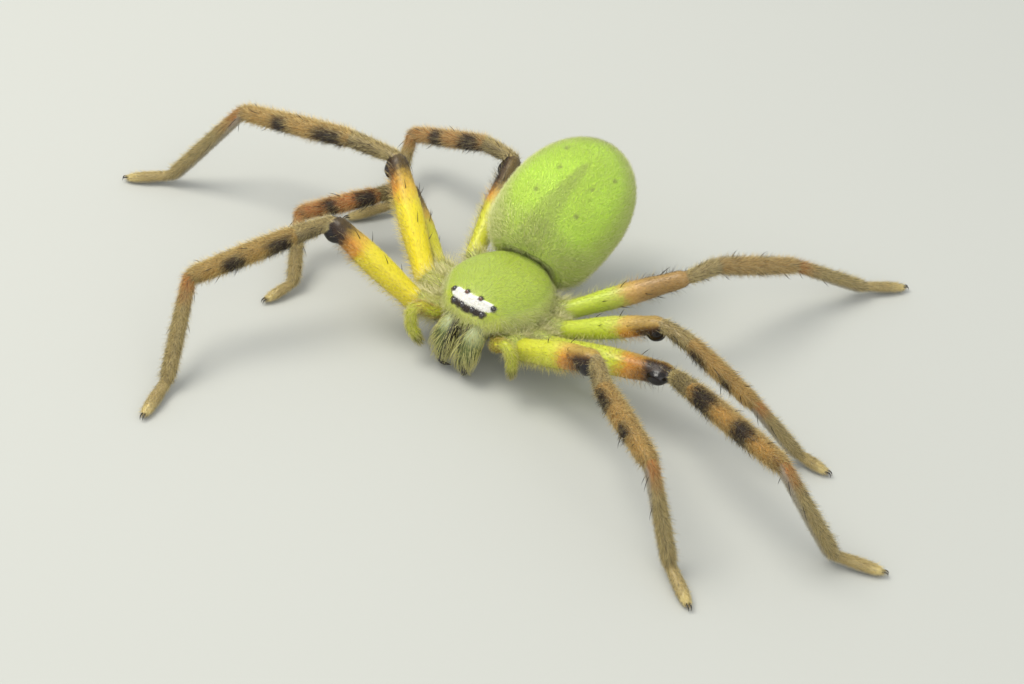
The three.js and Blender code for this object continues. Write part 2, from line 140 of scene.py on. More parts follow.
class SpiderColours(bpy.types.PropertyGroup):
    """Colours of skin and coat"""

    carapace: colour_prop("Carapace", "9caf34", "Head plate")
    rim: colour_prop("Rim", "cdd480", "Thin margin of the head plate and the coxae")
    belly: colour_prop("Belly", "d0d88c", "Underside and flanks")
    lime: colour_prop("Abdomen", "cdf04c", "Back of the abdomen")
    mark: colour_prop("Heart mark", "a8bd50", "Dark stripe along the front of the abdomen")
    yellow: colour_prop("Yellow", "e2d022", "Sunlit femora")
    green: colour_prop("Yellow green", "bccb45", "Shaded femora")
    orange: colour_prop("Orange", "cc7430", "Bands of the femora and tibiae")
    gold: colour_prop("Gold", "c99e4a", "Tibiae")
    brown: colour_prop("Brown", "9c8656", "Metatarsi")
    dark: colour_prop("Dark brown", "241812", "Dark bands")
    grey: colour_prop("Scopula grey", "c4beb0", "Pads under the feet")
    cream: colour_prop("Cream", "ecda98", "Pale hair")
    white: colour_prop("White", "f6f6f0", "Band between the eyes")
    olive: colour_prop("Olive", "86954c", "Chelicerae")


class SpiderCoat(bpy.types.PropertyGroup):
    """Length and number of the hairs"""

    leg_length: number_prop("Leg hair", "Length of the hairs on the tibiae", 0.62 * MM, unit="LENGTH")
    body_length: number_prop("Body hair", "Length of the nap of the abdomen", 0.36 * MM, unit="LENGTH")
    jaw_length: number_prop("Jaw bristles", "Length of the bristles in front", 1.7 * MM, unit="LENGTH")
    share: number_prop("Density", "Share of the hairs that are made", 1, min=0.05, max=1, subtype="FACTOR")


class SpiderStage(bpy.types.PropertyGroup):
    """Camera and light"""

    azimuth: number_prop("Azimuth", "Turn of the camera", math.radians(34.42), subtype="ANGLE")
    elevation: number_prop("Elevation", "Height angle of the camera", math.radians(39.78), subtype="ANGLE")
    roll: number_prop("Roll", "Tilt of the picture", math.radians(4.85), subtype="ANGLE")
    lens: number_prop("Lens", "Focal length for a 36 mm sensor, in millimetres", 81.2, min=10)


def settings():
    return bpy.context.scene.spider_colours, bpy.context.scene.spider_coat, bpy.context.scene.spider_stage


# Places read from the frame


def solid(name):
    """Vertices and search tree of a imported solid, in metres."""
    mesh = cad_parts[name].data
    points = [v.co.copy() for v in mesh.vertices]
    return points, BVHTree.FromPolygons(points, [tuple(p.vertices) for p in mesh.polygons])


def body_origin():
    """The middle of the carapace at ground level: between the eyes, half its length ahead of its rear."""
    left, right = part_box("eye_AME_left"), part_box("eye_AME_right")
    middle = (left[0].x + right[1].x + left[1].x + right[0].x) / 4
    return np.array((middle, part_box("cephalothorax")[1].y - CARAPACE_LENGTH / 2 * MM, 0.0))


ORIGIN = body_origin()


def place(point):
    """A place in millimetres of the body as a place of the frame in metres."""
    return np.asarray(point, float) * MM + ORIGIN


def smoothstep(value, start, end):
    t = np.clip((np.asarray(value, float) - start) / (end - start), 0, 1)
    return t * t * (3 - 2 * t)


def sided(point, side):
    return (point[0] * side, point[1], point[2])


def meeting(one, other):
    """The middle of the joint between two neighbouring solids."""
    facing = 0.42 * MM
    ends = []
    for (points, _), (_, tree) in ((one, other), (other, one)):
        near = {tuple(round(x, 7) for x in p) for p in points if tree.find_nearest(p)[3] < facing}
        ends.append(np.mean(np.array(sorted(near)), axis=0))
    return (ends[0] + ends[1]) / 2


def girth(tree, start, end, share):
    """Mean radius of a solid round its axis at a share of its length."""
    axis = Vector(end - start).normalized()
    side = axis.orthogonal().normalized()
    middle = Vector(start + (end - start) * share)
    spokes = 16
    found = []
    for i in range(spokes):
        ray = Matrix.Rotation(2 * math.pi * i / spokes, 3, axis) @ side
        hit = tree.ray_cast(middle, ray, 5 * MM)[3]
        if hit is not None:
            found.append(hit)
    return float(np.mean(found))


class Limb:
    """The axis of a limb from root to tip, in steps, with the radius of its skin at each step.

    along counts its segments from the root: 0 to 1 is the coxa or root, 1 to 2 the next segment.
    """

    def __init__(self, name, kind, points, radii, along, up=(0, 0, 1)):
        self.name, self.kind = name, kind
        self.points, self.radii, self.along = map(np.asarray, (points, radii, along))
        ahead = np.gradient(self.points, axis=0)
        self.axis = ahead / np.linalg.norm(ahead, axis=1, keepdims=True)
        up = np.broadcast_to(np.asarray(up, float), self.points.shape)
        back = up - self.axis * (self.axis * up).sum(1, keepdims=True)
        self.back = back / np.linalg.norm(back, axis=1, keepdims=True)
        self.front = np.cross(self.axis, self.back)
        if self.front[:, 1].mean() > 0:
            self.front = -self.front

    def locate(self, places):
        """For places near the limb: how far along, the angle from its back, and how far outside its skin."""
        apart = np.linalg.norm(places[:, None] - self.points[None], axis=2) - self.radii
        nearest = apart.argmin(axis=1)
        away = places - self.points[nearest]
        ahead = (away * self.axis[nearest]).sum(1)
        step = np.linalg.norm(np.diff(self.points, axis=0), axis=1).mean()
        slope = np.gradient(self.along)[nearest] / step
        along = self.along[nearest] + np.clip(ahead, -step, step) * slope
        angle = np.arctan2((away * self.front[nearest]).sum(1), (away * self.back[nearest]).sum(1))
        return nearest, along, angle, apart[np.arange(len(places)), nearest]


def smoothed(values, times=1):
    """Values with each one drawn towards its neighbours, the ends kept."""
    values = np.array(values, float)
    for _ in range(times):
        values[1:-1] = values[1:-1] / 2 + (values[:-2] + values[2:]) / 4
    return values


def stepped(joints, stations, step=0.22 * MM, rounding=3, waist=0.1):
    """Points, radii and along values of a limb through its joints.

    stations gives, for each segment, pairs of share and radius. At each joint between two segments
    the limb is a little narrower.
    """
    points, radii, along = [], [], []
    for index, (start, end) in enumerate(zip(joints[:-1], joints[1:])):
        count = max(3, int(round(np.linalg.norm(end - start) / step)))
        shares = np.arange(count) / count
        spots, sizes = zip(*stations[index])
        for share in shares:
            points.append(start + (end - start) * share)
            radii.append(np.interp(share, spots, sizes))
            along.append(index + share)
    points.append(joints[-1])
    radii.append(stations[-1][-1][1])
    along.append(len(joints) - 1)
    along = np.array(along)
    radii = smoothed(radii, 2)
    for joint in range(2, len(joints) - 1):
        spread = 0.05
        radii *= 1 - waist * np.exp(-(((along - joint) / spread) ** 2))
    return smoothed(points, rounding) if rounding else np.array(points), radii, along


def leg(number, hand):
    """The limb of one leg, read from its solids."""
    name = f"leg{number}_{hand}"
    solids = [solid(f"{name}_{segment}") for segment in SEGMENTS]
    trunk = solid("cephalothorax")
    hip = meeting(trunk, solids[0])
    joints = [hip] + [meeting(a, b) for a, b in zip(solids[:-1], solids[1:])]
    tarsus = np.array(sorted({tuple(p) for p in solids[-1][0]}))
    reach = tarsus - joints[-1]
    tip = tarsus[np.linalg.norm(reach, axis=1) > 0.75 * np.linalg.norm(reach, axis=1).max()].mean(0)
    ahead = (tip - joints[-1]) / np.linalg.norm(tip - joints[-1])
    length = (reach @ ahead).max()
    joints.append(joints[-1] + ahead * (length - 0.32 * MM))
    inner = place((HANDS[hand] * COXA_INNER, 0, COXA_LEVEL))
    inner[1] = ORIGIN[1] + (hip[1] - ORIGIN[1]) * COXA_GATHER
    spots = (0.14, 0.32, 0.5, 0.68, 0.86)
    first = girth(solids[0][1], joints[0], joints[1], spots[0]) - COAT_DEPTH["femur"] * MM
    stations = [[(0, COXA_RADIUS * MM), (1, first)]]
    for index, segment in enumerate(SEGMENTS):
        tree = solids[index][1]
        sizes = [girth(tree, joints[index], joints[index + 1], s) for s in spots]
        stations.append([(s, r - COAT_DEPTH[segment] * MM) for s, r in zip(spots, sizes)])
    points, radii, along = stepped([inner] + joints, stations)
    tapering = np.clip((6 - along) / 0.12, 0, 1)
    ahead = [(b - a) / np.linalg.norm(b - a) for a, b in zip(joints[:2], joints[1:3])]
    outside = (ahead[0] - ahead[1]) / np.linalg.norm(ahead[0] - ahead[1])
    upright = smoothstep(along, 3.6, 4.7)[:, None]
    up = outside * (1 - upright) + np.array((0, 0, 1.0)) * upright
    return Limb(name, "leg", points, radii * (0.72 + 0.28 * tapering), along, up)


def palp(hand):
    side = HANDS[hand]
    joints = [place(sided(p, side)) for p in PALP[hand]]
    radii = np.array(PALP_RADII) * MM
    stations = [[(0, a), (1, b)] for a, b in zip(radii[:-1], radii[1:])]
    points, radii, along = stepped(joints, stations, step=0.1 * MM, rounding=12, waist=0.06)
    return Limb(f"palp_{hand}", "palp", points, radii, along, up=(side, -0.4, 0.3))


def curved(points, count):
    """Places along a smooth curve through three points."""
    a, b, c = map(np.asarray, points)
    t = np.linspace(0, 1, count)[:, None]
    middle = 2 * b - (a + c) / 2
    return a * (1 - t) ** 2 + middle * 2 * t * (1 - t) + c * t**2


def jaw(hand):
    side = HANDS[hand]
    points = curved([place(sided(p, side)) for p in CHELICERA], 22)
    shares = np.linspace(0, 1, len(points))
    radii = np.interp(shares, np.linspace(0, 1, len(CHELICERA_RADII)), CHELICERA_RADII) * MM
    return Limb(f"chelicera_{hand}", "jaw", points, radii, shares, up=(0, -1, 0.2))


limbs = [leg(number, hand) for hand in HANDS for number in (1, 2, 3, 4)]
limbs += [palp(hand) for hand in HANDS] + [jaw(hand) for hand in HANDS]
eyes = {}
for eye in ("AME", "ALE", "PME", "PLE"):
    for hand in HANDS:
        low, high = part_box(f"eye_{eye}_{hand}")
        eyes[f"{eye}_{hand}"] = (np.array((low + high) / 2), (high - low).z / 2)


def abdomen_turn():
    """Turns the abdomen's own axes, with its rear end along +Y, into the body's."""
    yaw, pitch, roll = (math.radians(ABDOMEN[name]) for name in ("yaw", "pitch", "roll"))
    turned = Matrix.Rotation(-yaw, 3, "Z") @ Matrix.Rotation(pitch, 3, "X") @ Matrix.Rotation(roll, 3, "Y")
    return np.array(turned)


TURN = abdomen_turn()


def carapace_half_width(share):
    head = smoothstep(-share, HEAD_FROM, HEAD_TO)
    ring = np.sqrt(np.clip(1 - share**2, 0, 1)) ** (1 - HEAD_SQUARENESS * head)
    return CARAPACE_WIDTH / 2 * ring * (1 - HEAD_NARROWING * head)


def plate_edge(body):
    """How near places are to the margin of the head plate: 0 at its middle and 1 at its margin."""
    x, y, _ = body.T
    share = np.clip(y / (CARAPACE_LENGTH / 2), -0.999, 0.999)
    return np.maximum(np.abs(x) / np.maximum(carapace_half_width(share), 0.3), np.abs(share))


def plate_rays(x, y, start, end):
    """Rays on the head plate round the midline groove, between two distances from it."""
    angle, far = np.arctan2(x, y - RAY_CENTRE), np.hypot(x, y - RAY_CENTRE)
    ray = (np.cos(angle * RAY_COUNT) * 0.5 + 0.5) ** 3
    return ray * smoothstep(far, start, start + 1) * (1 - smoothstep(far, end, end + 1.2))


def carapace_rise(share, across):
    lengthwise = np.clip(1 - share**2, 0, 1) ** END_STEEPNESS
    change = smoothstep(-share, FLANK_FROM, FLANK_TO)
    fall = FLANK_STEEPNESS + (HEAD_FLANK_STEEPNESS - FLANK_STEEPNESS) * change
    return CARAPACE_HEIGHT * lengthwise * np.clip(1 - across**2, 0, 1) ** fall


# Modelling


def deselect():
    if bpy.context.object and bpy.context.object.mode != "OBJECT":
        bpy.ops.object.mode_set(mode="OBJECT")
    bpy.ops.object.select_all(action="DESELECT")


def only(obj):
    deselect()
    obj.select_set(True)
    bpy.context.view_layer.objects.active = obj
    return obj


def joined(pieces, name):
    """Joins the pieces into the first one."""
    deselect()
    for piece in pieces:
        piece.select_set(True)
    bpy.context.view_layer.objects.active = pieces[0]
    bpy.ops.object.join()
    return named(pieces[0], name)


def named(obj, name):
    obj.name = obj.data.name = name
    return obj


def dressed(obj, name, material):
    """Names a finished piece, shades it smooth and gives it its material."""
    named(obj, name)
    bpy.ops.object.shade_smooth()
    obj.data.materials.append(material)
    return obj


def coordinates(obj):
    points = np.empty(len(obj.data.vertices) * 3, np.float32)
    obj.data.vertices.foreach_get("co", points)
    return points.reshape(-1, 3).astype(float)


def move_to(obj, points):
    obj.data.vertices.foreach_set("co", np.asarray(points, np.float32).ravel())
    obj.data.update()


def ball(centre, half, segments=32, rings=16, turn=None):
    """A sphere with three half axes, in metres."""
    deselect()
    bpy.ops.mesh.primitive_uv_sphere_add(segments=segments, ring_count=rings, radius=1)
    obj = bpy.context.object
    points = coordinates(obj) * np.asarray(half)
    if turn is not None:
        points = points @ np.asarray(turn).T
    move_to(obj, points + np.asarray(centre))
    return obj


def tube(points, radii, sides=6):
    """A closed round tube along a path, drawn as a bevelled curve and turned into a mesh."""
    deselect()
    bpy.ops.curve.primitive_bezier_curve_add()
    obj = bpy.context.object
    curve = obj.data
    curve.splines.clear()
    spline = curve.splines.new("POLY")
    spline.points.add(len(points) - 1)
    for spot, point, radius in zip(spline.points, points, radii):
        spot.co = (*point, 1)
        spot.radius = radius
    curve.bevel_depth = 1
    curve.bevel_resolution = sides
    curve.use_fill_caps = True
    curve.twist_mode = "MINIMUM"
    bpy.ops.object.convert(target="MESH")
    return bpy.context.object


def rounded_tube(limb_points, radii, sides=6):
    """A tube whose two ends are domed."""
    points, radii = np.asarray(limb_points), np.asarray(radii)
    dome = np.radians([90, 70, 50, 30, 15])
    first, last = points[0] - points[1], points[-1] - points[-2]
    first, last = first / np.linalg.norm(first), last / np.linalg.norm(last)
    start = [points[0] + first * radii[0] * math.sin(a) for a in dome]
    end = [points[-1] + last * radii[-1] * math.sin(a) for a in dome[::-1]]
    tip = 0.03
    at_start = [radii[0] * max(math.cos(a), tip) for a in dome]
    at_end = [radii[-1] * max(math.cos(a), tip) for a in dome[::-1]]
    return tube([*start, *points, *end], [*at_start, *radii, *at_end], sides)


def carapace(growth=0):
    """The head plate with its dome, rim, shallow midline groove and faint rays."""
    obj = ball((0, 0, 0), (1, 1, 1), 96, 64, Matrix.Rotation(math.radians(90), 3, "X"))
    unit = coordinates(obj)
    share = unit[:, 1]
    ring = np.hypot(unit[:, 0], unit[:, 2])
    across = np.clip(np.divide(unit[:, 0], ring, out=np.zeros_like(ring), where=ring > 1e-6), -1, 1)
    steep = np.divide(unit[:, 2], ring, out=np.zeros_like(ring), where=ring > 1e-6)
    above = carapace_rise(share, across) + growth * np.sqrt(ring)
    below = steep * (RIM_DEPTH + growth) * np.sqrt(ring)
    x = across * (carapace_half_width(share) + growth * ring)
    y = share * (CARAPACE_LENGTH / 2 + growth)
    z = MARGIN_LEVEL + np.where(unit[:, 2] > 0, above, below)
    if not growth:
        groove = GROOVE_DEPTH * np.exp(-((x / GROOVE_WIDTH) ** 2))
        groove *= smoothstep(y, 0.7, 1.1) * (1 - smoothstep(y, 1.9, 2.4))
        z -= np.where(unit[:, 2] > 0, groove + RAY_DEPTH * plate_rays(x, y, 0.8, 3.0), 0)
    move_to(obj, np.stack([x, y, z], 1) * MM + ORIGIN)
    return obj


def cut_away(obj, cutters):
    """Takes closed shapes out of a closed mesh."""
    for cutter in cutters:
        only(obj)
        cut = obj.modifiers.new("Room", "BOOLEAN")
        cut.object = cutter
        cut.operation = "DIFFERENCE"
        cut.solver = "MANIFOLD"
        bpy.ops.object.modifier_apply(modifier=cut.name)
        bpy.data.objects.remove(cutter)
    return obj


def abdomen():
    """The egg-shaped abdomen, less the room of the carapace, the trunk and the waist in front of it."""
    obj = ball((0, 0, 0), (1, 1, 1), 96, 64, Matrix.Rotation(math.radians(90), 3, "X"))
    unit = coordinates(obj)
    share = unit[:, 1]
    reach = np.where(share > 0, ABDOMEN["rear"], ABDOMEN["front"]) - ABDOMEN_COAT
    power = np.where(share > 0, 2, ABDOMEN["bluntness"])
    ring = np.hypot(unit[:, 0], unit[:, 2])
    girths = np.clip(1 - np.abs(share) ** power, 0, 1) ** (1 / power)
    wider = np.divide(girths, ring, out=np.zeros_like(ring), where=ring > 1e-6)
    half = np.stack([
        unit[:, 0] * wider * (ABDOMEN["width"] / 2 - ABDOMEN_COAT),
        share * reach,
        unit[:, 2] * wider * (ABDOMEN["height"] / 2 - ABDOMEN_COAT) - droop(share),
    ], 1)
    move_to(obj, (half @ TURN.T + ABDOMEN["centre"]) * MM + ORIGIN)
    grown = (np.array(CORE["half"]) + ABDOMEN_ROOM) * MM
    return cut_away(obj, (
        carapace(growth=ABDOMEN_ROOM), ball(place(CORE["centre"]), grown),
        ball(place(WAIST_CENTRE), np.full(3, WAIST_RADIUS * MM)),
    ))


def droop(share):
    """How far the front of the abdomen hangs below its own axis, in millimetres."""
    return ABDOMEN["droop"] * np.clip(-share, 0, 1) ** 2


def abdomen_place(point):
    return place(TURN @ np.asarray(point, float) + ABDOMEN["centre"])


def trunk_pieces():
    """Every rounded piece of the skin apart from the legs and palps."""
    pieces = [carapace(), abdomen()]
    for shape in (CORE, STERNUM):
        pieces.append(ball(place(shape["centre"]), np.array(shape["half"]) * MM))
    pieces.append(rounded_tube([place(p) for p in PEDICEL], [PEDICEL_RADIUS * MM] * 2))
    for side in HANDS.values():
        pieces.append(rounded_tube([place(sided(p, side)) for p in MOUTH], [MOUTH_RADIUS * MM] * 2))
        for across, up in SPINNERET_PLACES:
            root = np.array(SPINNERETS["root"]) + (across * side, 0, up)
            ahead = np.array((across * side * SPINNERETS["splay"], 1, up * SPINNERETS["splay"]))
            spots = [abdomen_place(root + ahead * SPINNERETS["length"] * s) for s in (0, 0.5, 1)]
            pieces.append(rounded_tube(spots, np.array(SPINNERETS["radii"]) * MM))
    for centre, radius in eyes.values():
        pieces.append(ball(centre - np.array((0, 0, 0.25 * radius)), np.full(3, radius * 1.16), 16, 8))
    return pieces


def knob_frame(limb):
    """The middle and the turn of the bulge under the far end of a femur, where it bears on the patella."""
    step = int(np.abs(limb.along - KNOB_PLACE).argmin())
    axis = limb.axis[step]
    above = limb.back[step] + KNOB_SAG * (np.array((0, 0, 1.0)) - axis * axis[2])
    above /= np.linalg.norm(above)
    turn = np.stack([np.cross(axis, above), axis, above], 1)
    return limb.points[step] - above * KNOB_BELOW * MM, turn


def knob_distance(limb, places):
    """How far in millimetres the places are outside the bulge."""
    centre, turn = knob_frame(limb)
    inside = (places - centre) @ turn / (1, KNOB_STRETCH, 1)
    return np.linalg.norm(inside, axis=1) / MM - KNOB_RADIUS


def knob(limb):
    centre, turn = knob_frame(limb)
    half = KNOB_RADIUS * MM
    return ball(centre, (half, half * KNOB_STRETCH, half), 20, 12, turn)


def skin_mesh():
    """All rounded pieces joined, wrapped in one even surface and smoothed."""
    pieces = trunk_pieces()
    for limb in limbs:
        pieces.append(rounded_tube(limb.points, limb.radii))
        if limb.kind == "leg":
            pieces.append(knob(limb))
    skin = joined(pieces, "skin")
    wrap = skin.modifiers.new("Wrap", "REMESH")
    wrap.mode = "VOXEL"
    wrap.voxel_size = VOXEL * MM
    bpy.ops.object.modifier_apply(modifier=wrap.name)
    soft = skin.modifiers.new("Soften", "CORRECTIVE_SMOOTH")
    soft.smooth_type = "LENGTH_WEIGHTED"
    soft.factor = 0.5
    soft.iterations = 4
    soft.use_only_smooth = True
    bpy.ops.object.modifier_apply(modifier=soft.name)
    bpy.ops.object.shade_smooth()
    return skin


# Where a point of the skin lies


class Where:
    """Places on the skin in millimetres of the body, with the part that each belongs to."""

    TRUNK, ABDOMEN, LEG, PALP, JAW, TAIL, WAIST = range(7)

    def __init__(self, places):
        self.places = places
        self.body = (places - ORIGIN) / MM
        count = len(places)
        self.part = np.full(count, self.TRUNK)
        self.limb = np.full(count, -1)
        self.along = np.zeros(count)
        self.angle = np.zeros(count)
        self.axis = np.tile((0.0, 1.0, 0.0), (count, 1))
        self.egg = (self.body - ABDOMEN["centre"]) @ TURN
        self.gap = np.full(count, NEAR_SKIN)
        self._find_plate()
        self._find_abdomen()
        self._find_limbs()
        self._find_ends()

    def _claim(self, index, apart, part):
        """Gives the places to the part wherever it is the nearest one so far."""
        closer = np.abs(apart) < self.gap[index]
        chosen = index[closer]
        self.gap[chosen] = np.abs(apart)[closer]
        self.part[chosen] = part
        self.limb[chosen] = -1
        return closer

    def _find_plate(self):
        x, y, z = self.body.T
        share = np.clip(y / (CARAPACE_LENGTH / 2), -0.999, 0.999)
        across = x / np.maximum(carapace_half_width(share), 0.3)
        above = (np.abs(across) < 1.02) & (z > MARGIN_LEVEL - RIM_DEPTH)
        above &= np.abs(y) < CARAPACE_LENGTH / 2 + 0.1
        surface = MARGIN_LEVEL + carapace_rise(share, np.clip(across, -0.98, 0.98))
        self.plate = above & (z < surface + 0.2)
        self.gap[self.plate] = 0

    def _find_abdomen(self):
        egg = self.egg
        reach = np.where(egg[:, 1] > 0, ABDOMEN["rear"], ABDOMEN["front"])
        egg[:, 2] += droop(egg[:, 1] / reach)
        half = np.tile((ABDOMEN["width"] / 2, 1, ABDOMEN["height"] / 2), (len(egg), 1))
        half[:, 1] = reach
        size = egg / half
        power = np.where(egg[:, 1] > 0, 2, ABDOMEN["bluntness"])
        far = (np.abs(size[:, 1]) ** power + np.hypot(size[:, 0], size[:, 2]) ** power) ** (1 / power)
        apart = (1 - 1 / np.maximum(far, 0.05)) * np.linalg.norm(egg, axis=1) + ABDOMEN_COAT
        self.egg_share = size
        self._claim(np.arange(len(egg)), apart, self.ABDOMEN)
        room = (far < 1) & (apart < 0) & (self.part == self.TRUNK) & ~self.plate & (self.body[:, 1] > 3.2)
        self.part[room & (self.body[:, 2] > 4.6)] = self.ABDOMEN
        self.axis[self.part == self.ABDOMEN] = TURN[:, 1]

    def _find_limbs(self):
        kinds = {"leg": self.LEG, "palp": self.PALP, "jaw": self.JAW}
        for number, limb in enumerate(limbs):
            low = limb.points.min(0) - 2 * MM
            high = limb.points.max(0) + 2 * MM
            index = np.flatnonzero(((self.places > low) & (self.places < high)).all(1) & ~self.plate)
            if not len(index):
                continue
            nearest, along, angle, apart = limb.locate(self.places[index])
            if limb.kind == "leg":
                bulge = knob_distance(limb, self.places[index]) * MM
                apart = np.where(np.abs(bulge) < np.abs(apart), bulge, apart)
            closer = self._claim(index, apart / MM, kinds[limb.kind])
            chosen = index[closer]
            self.limb[chosen] = number
            self.along[chosen] = along[closer]
            self.angle[chosen] = angle[closer]
            self.axis[chosen] = limb.axis[nearest[closer]]

    def _find_ends(self):
        """The spinnerets, and the waist in front of the abdomen."""
        free = ((self.part == self.TRUNK) | (self.part == self.ABDOMEN)) & ~self.plate
        root = np.array(SPINNERETS["root"])
        beyond = np.linalg.norm(self.egg - root - (0, SPINNERETS["length"] * 0.6, 0), axis=1)
        self.part[free & (beyond < SPINNERETS["length"] * 0.85) & (self.egg_share[:, 1] > 0.8)] = self.TAIL
        start, end = (np.array(p) for p in PEDICEL)
        share = np.clip((self.body - start) @ (end - start) / ((end - start) @ (end - start)), 0.2, 1)
        off = np.linalg.norm(self.body - start - share[:, None] * (end - start), axis=1)
        self.part[free & (self.part == self.TRUNK) & (off < PEDICEL_RADIUS + 0.25)] = self.WAIST

    def unwrap(self):
        """A place on a flat map for each point: a strip for each limb, and fields for trunk and abdomen."""
        x, y, z = self.body.T
        under = z < MARGIN_LEVEL - 0.2
        u = 0.03 + (x + 6.5) / 13 * 0.2 + np.where(under, 0.24, 0)
        v = 0.66 + (y + 6.5) / 13 * 0.3
        turn = np.arctan2(self.egg[:, 0], self.egg[:, 2]) / (2 * math.pi) + 0.5
        back = (self.part == self.ABDOMEN) | (self.part == self.TAIL)
        u = np.where(back, 0.52 + (self.egg[:, 1] + 5) / 13 * 0.44, u)
        v = np.where(back, 0.66 + turn * 0.3, v)
        strips = self.limb >= 0
        u = np.where(strips, 0.01 + self.along / 6.2 * 0.97, u)
        turned = self.angle / (2 * math.pi) + 0.5
        v = np.where(strips, 0.01 + (self.limb + turned * 0.9) / len(limbs) * 0.62, v)
        return np.stack([np.clip(u, 0.005, 0.995), np.clip(v, 0.005, 0.995)], 1)


def grain(places, size):
    """Smooth noise from -1 to 1 at places, with features of that size in millimetres."""
    scale = 1 / (size * MM)
    return np.array([noise.noise(Vector(p) * scale) for p in places])


def mix(a, b, share):
    share = np.asarray(share, float)[..., None]
    return np.asarray(a) * (1 - share) + np.asarray(b) * share


def spot(value, centre, half, soft):
    """1 within half of the centre, falling to 0 over the soft edge."""
    return 1 - smoothstep(np.abs(value - centre), half, half + soft)


# For each leg: how yellow its femur is, which is painted sunlight (yellow on the sunlit right legs, yellow
# green on the shaded left ones), where it darkens, how dark it gets above, how red its tibia is and how brown
# its femur's back is.
LEG_TINTS = {
    "leg1_left": (0.35, 0.63, 0.3, 0.1, 0.4),
    "leg2_left": (0.2, 0.64, 0.3, 0.1, 0.5),
    "leg3_left": (0.08, 0.64, 0.35, 0.15, 0.6),
    "leg4_left": (0.0, 0.5, 0.4, 0.15, 0.85),
    "leg1_right": (0.9, 0.68, 0.93, 0.0, 0.3),
    "leg2_right": (0.95, 0.7, 0.9, 0.1, 0.25),
    "leg3_right": (0.6, 0.55, 0.8, 0.8, 0.3),
    "leg4_right": (0.4, 0.52, 0.8, 0.45, 0.4),
}


def leg_colours(where, index, limb):
    colours, _, _ = settings()
    along, angle = where.along[index], np.abs(where.angle[index])
    painted_sunlight, turning, darkening, redness, browned = LEG_TINTS[limb.name]
    wave = 0.05 * grain(where.places[index], 0.9) + 0.055 * grain(where.places[index], 0.22)
    t = along - np.floor(along) + wave
    every = np.ones((len(t), 1))
    below = smoothstep(angle, 1.2, 2.2)
    tan = mix(colours.brown, colours.cream, 0.4)
    # The yellow of the femur is painted sunlight, mixed between the shaded yellow green and the sunlit
    # yellow.
    femur = mix(colours.green, colours.yellow, painted_sunlight)
    shade = mix(femur * every, tan, browned * (1 - below) * smoothstep(t, turning - 0.22, turning + 0.12))
    shade = mix(shade, colours.orange, (0.4 + 0.4 * below) * smoothstep(t, turning - 0.12, turning + 0.04))
    inked = darkening + (0.97 - darkening) * below
    shade = mix(shade, colours.dark, inked * smoothstep(t, turning, turning + 0.22) ** 1.3)
    patella = mix(mix(colours.brown, colours.cream, 0.25) * every, colours.dark, 0.15 + 0.35 * below)
    patella = mix(patella, colours.cream, 0.45 * below * spot(t, 0.16, 0.1, 0.1))
    tibia = mix(colours.gold, colours.orange, redness) * every
    tibia = mix(tibia, tan, 0.35 * (1 - below) * (1 - redness))
    blot = np.maximum(spot(t, 0.16, 0.05, 0.19), spot(t, 0.6, 0.02, 0.16))
    tibia = mix(tibia, colours.dark, 0.97 * blot**1.5 * (0.08 + 0.92 * smoothstep(angle, 0.8, 2.1)))
    tibia = mix(tibia, colours.dark, 0.45 * smoothstep(t, 0.86, 1.0) * (0.4 + 0.6 * below))
    foot = mix(colours.orange, colours.gold, 0.4)
    foot = mix(foot, mix(colours.brown, colours.cream, 0.3), smoothstep(t, 0.02, 0.35))
    foot = mix(foot, colours.grey, 0.75 * smoothstep(angle, 1.8, 2.4))
    toe = mix(mix(colours.brown, colours.cream, 0.25), colours.cream, 0.8 * smoothstep(t, 0.55, 1.0))
    toe = mix(toe, colours.grey, 0.9 * smoothstep(angle, 1.7, 2.3))
    coxa = mix(mix(colours.carapace, femur, 0.35), colours.rim, 0.5) * every
    segment = np.clip(along.astype(int), 0, 5)
    table = np.stack([coxa, shade, patella, tibia, foot, toe])
    painted = table[segment, np.arange(len(t))]
    return mix(painted, srgb("120b08"), knob_mask(where)[index])


def jaw_colours(where, index, limb):
    colours, _, _ = settings()
    along = where.along[index]
    side = 1 if limb.name.endswith("left") else -1
    # The inner faces, where the two chelicerae meet, are darkened as painted shade.
    inner = smoothstep(-where.body[index, 0] * side + abs(CHELICERA[0][0]), 0.2, 0.55)
    top = mix(np.tile(colours.olive, (len(along), 1)), colours.grey, 0.25)
    # Below the top the skin is darkened as painted shade between the bristles.
    shade = mix(top, mix(colours.olive, colours.dark, 0.5), smoothstep(along, 0.05, 0.35))
    shade = mix(shade, colours.dark, 0.95 * inner)
    return mix(shade, colours.dark, 0.8 * smoothstep(along, 0.7, 1.0))


def palp_colours(where, index, limb):
    colours, _, _ = settings()
    along = where.along[index]
    shade = mix(colours.green, colours.yellow, 0.25) * np.ones((len(along), 1))
    shade = mix(shade, colours.orange, 0.12 * spot(along, 2.0, 0.25, 0.4))
    return mix(shade, colours.dark, 0.7 * smoothstep(along, 4.3, 4.95))


def bands(body):
    """Masks of the white band between the eye rows and of the black band under it."""
    x, y, z = body.T
    off = y + 3.52 - 0.1 * x**2
    narrow = np.sqrt(1 - np.clip(np.abs(x) / 2.1, 0, 1) ** 5)
    high = z > MARGIN_LEVEL + 0.45
    soft = 0.05
    white = spot(off, -0.02, 0.36 * narrow - soft, soft) * (np.abs(x) < 2.1) * high
    blunt = np.sqrt(1 - np.clip(np.abs(x) / 1.72, 0, 1) ** 4)
    black = spot(off, -0.5, 0.21 * blunt - soft, soft) * (np.abs(x) < 1.7) * high
    return white, black * (1 - white)


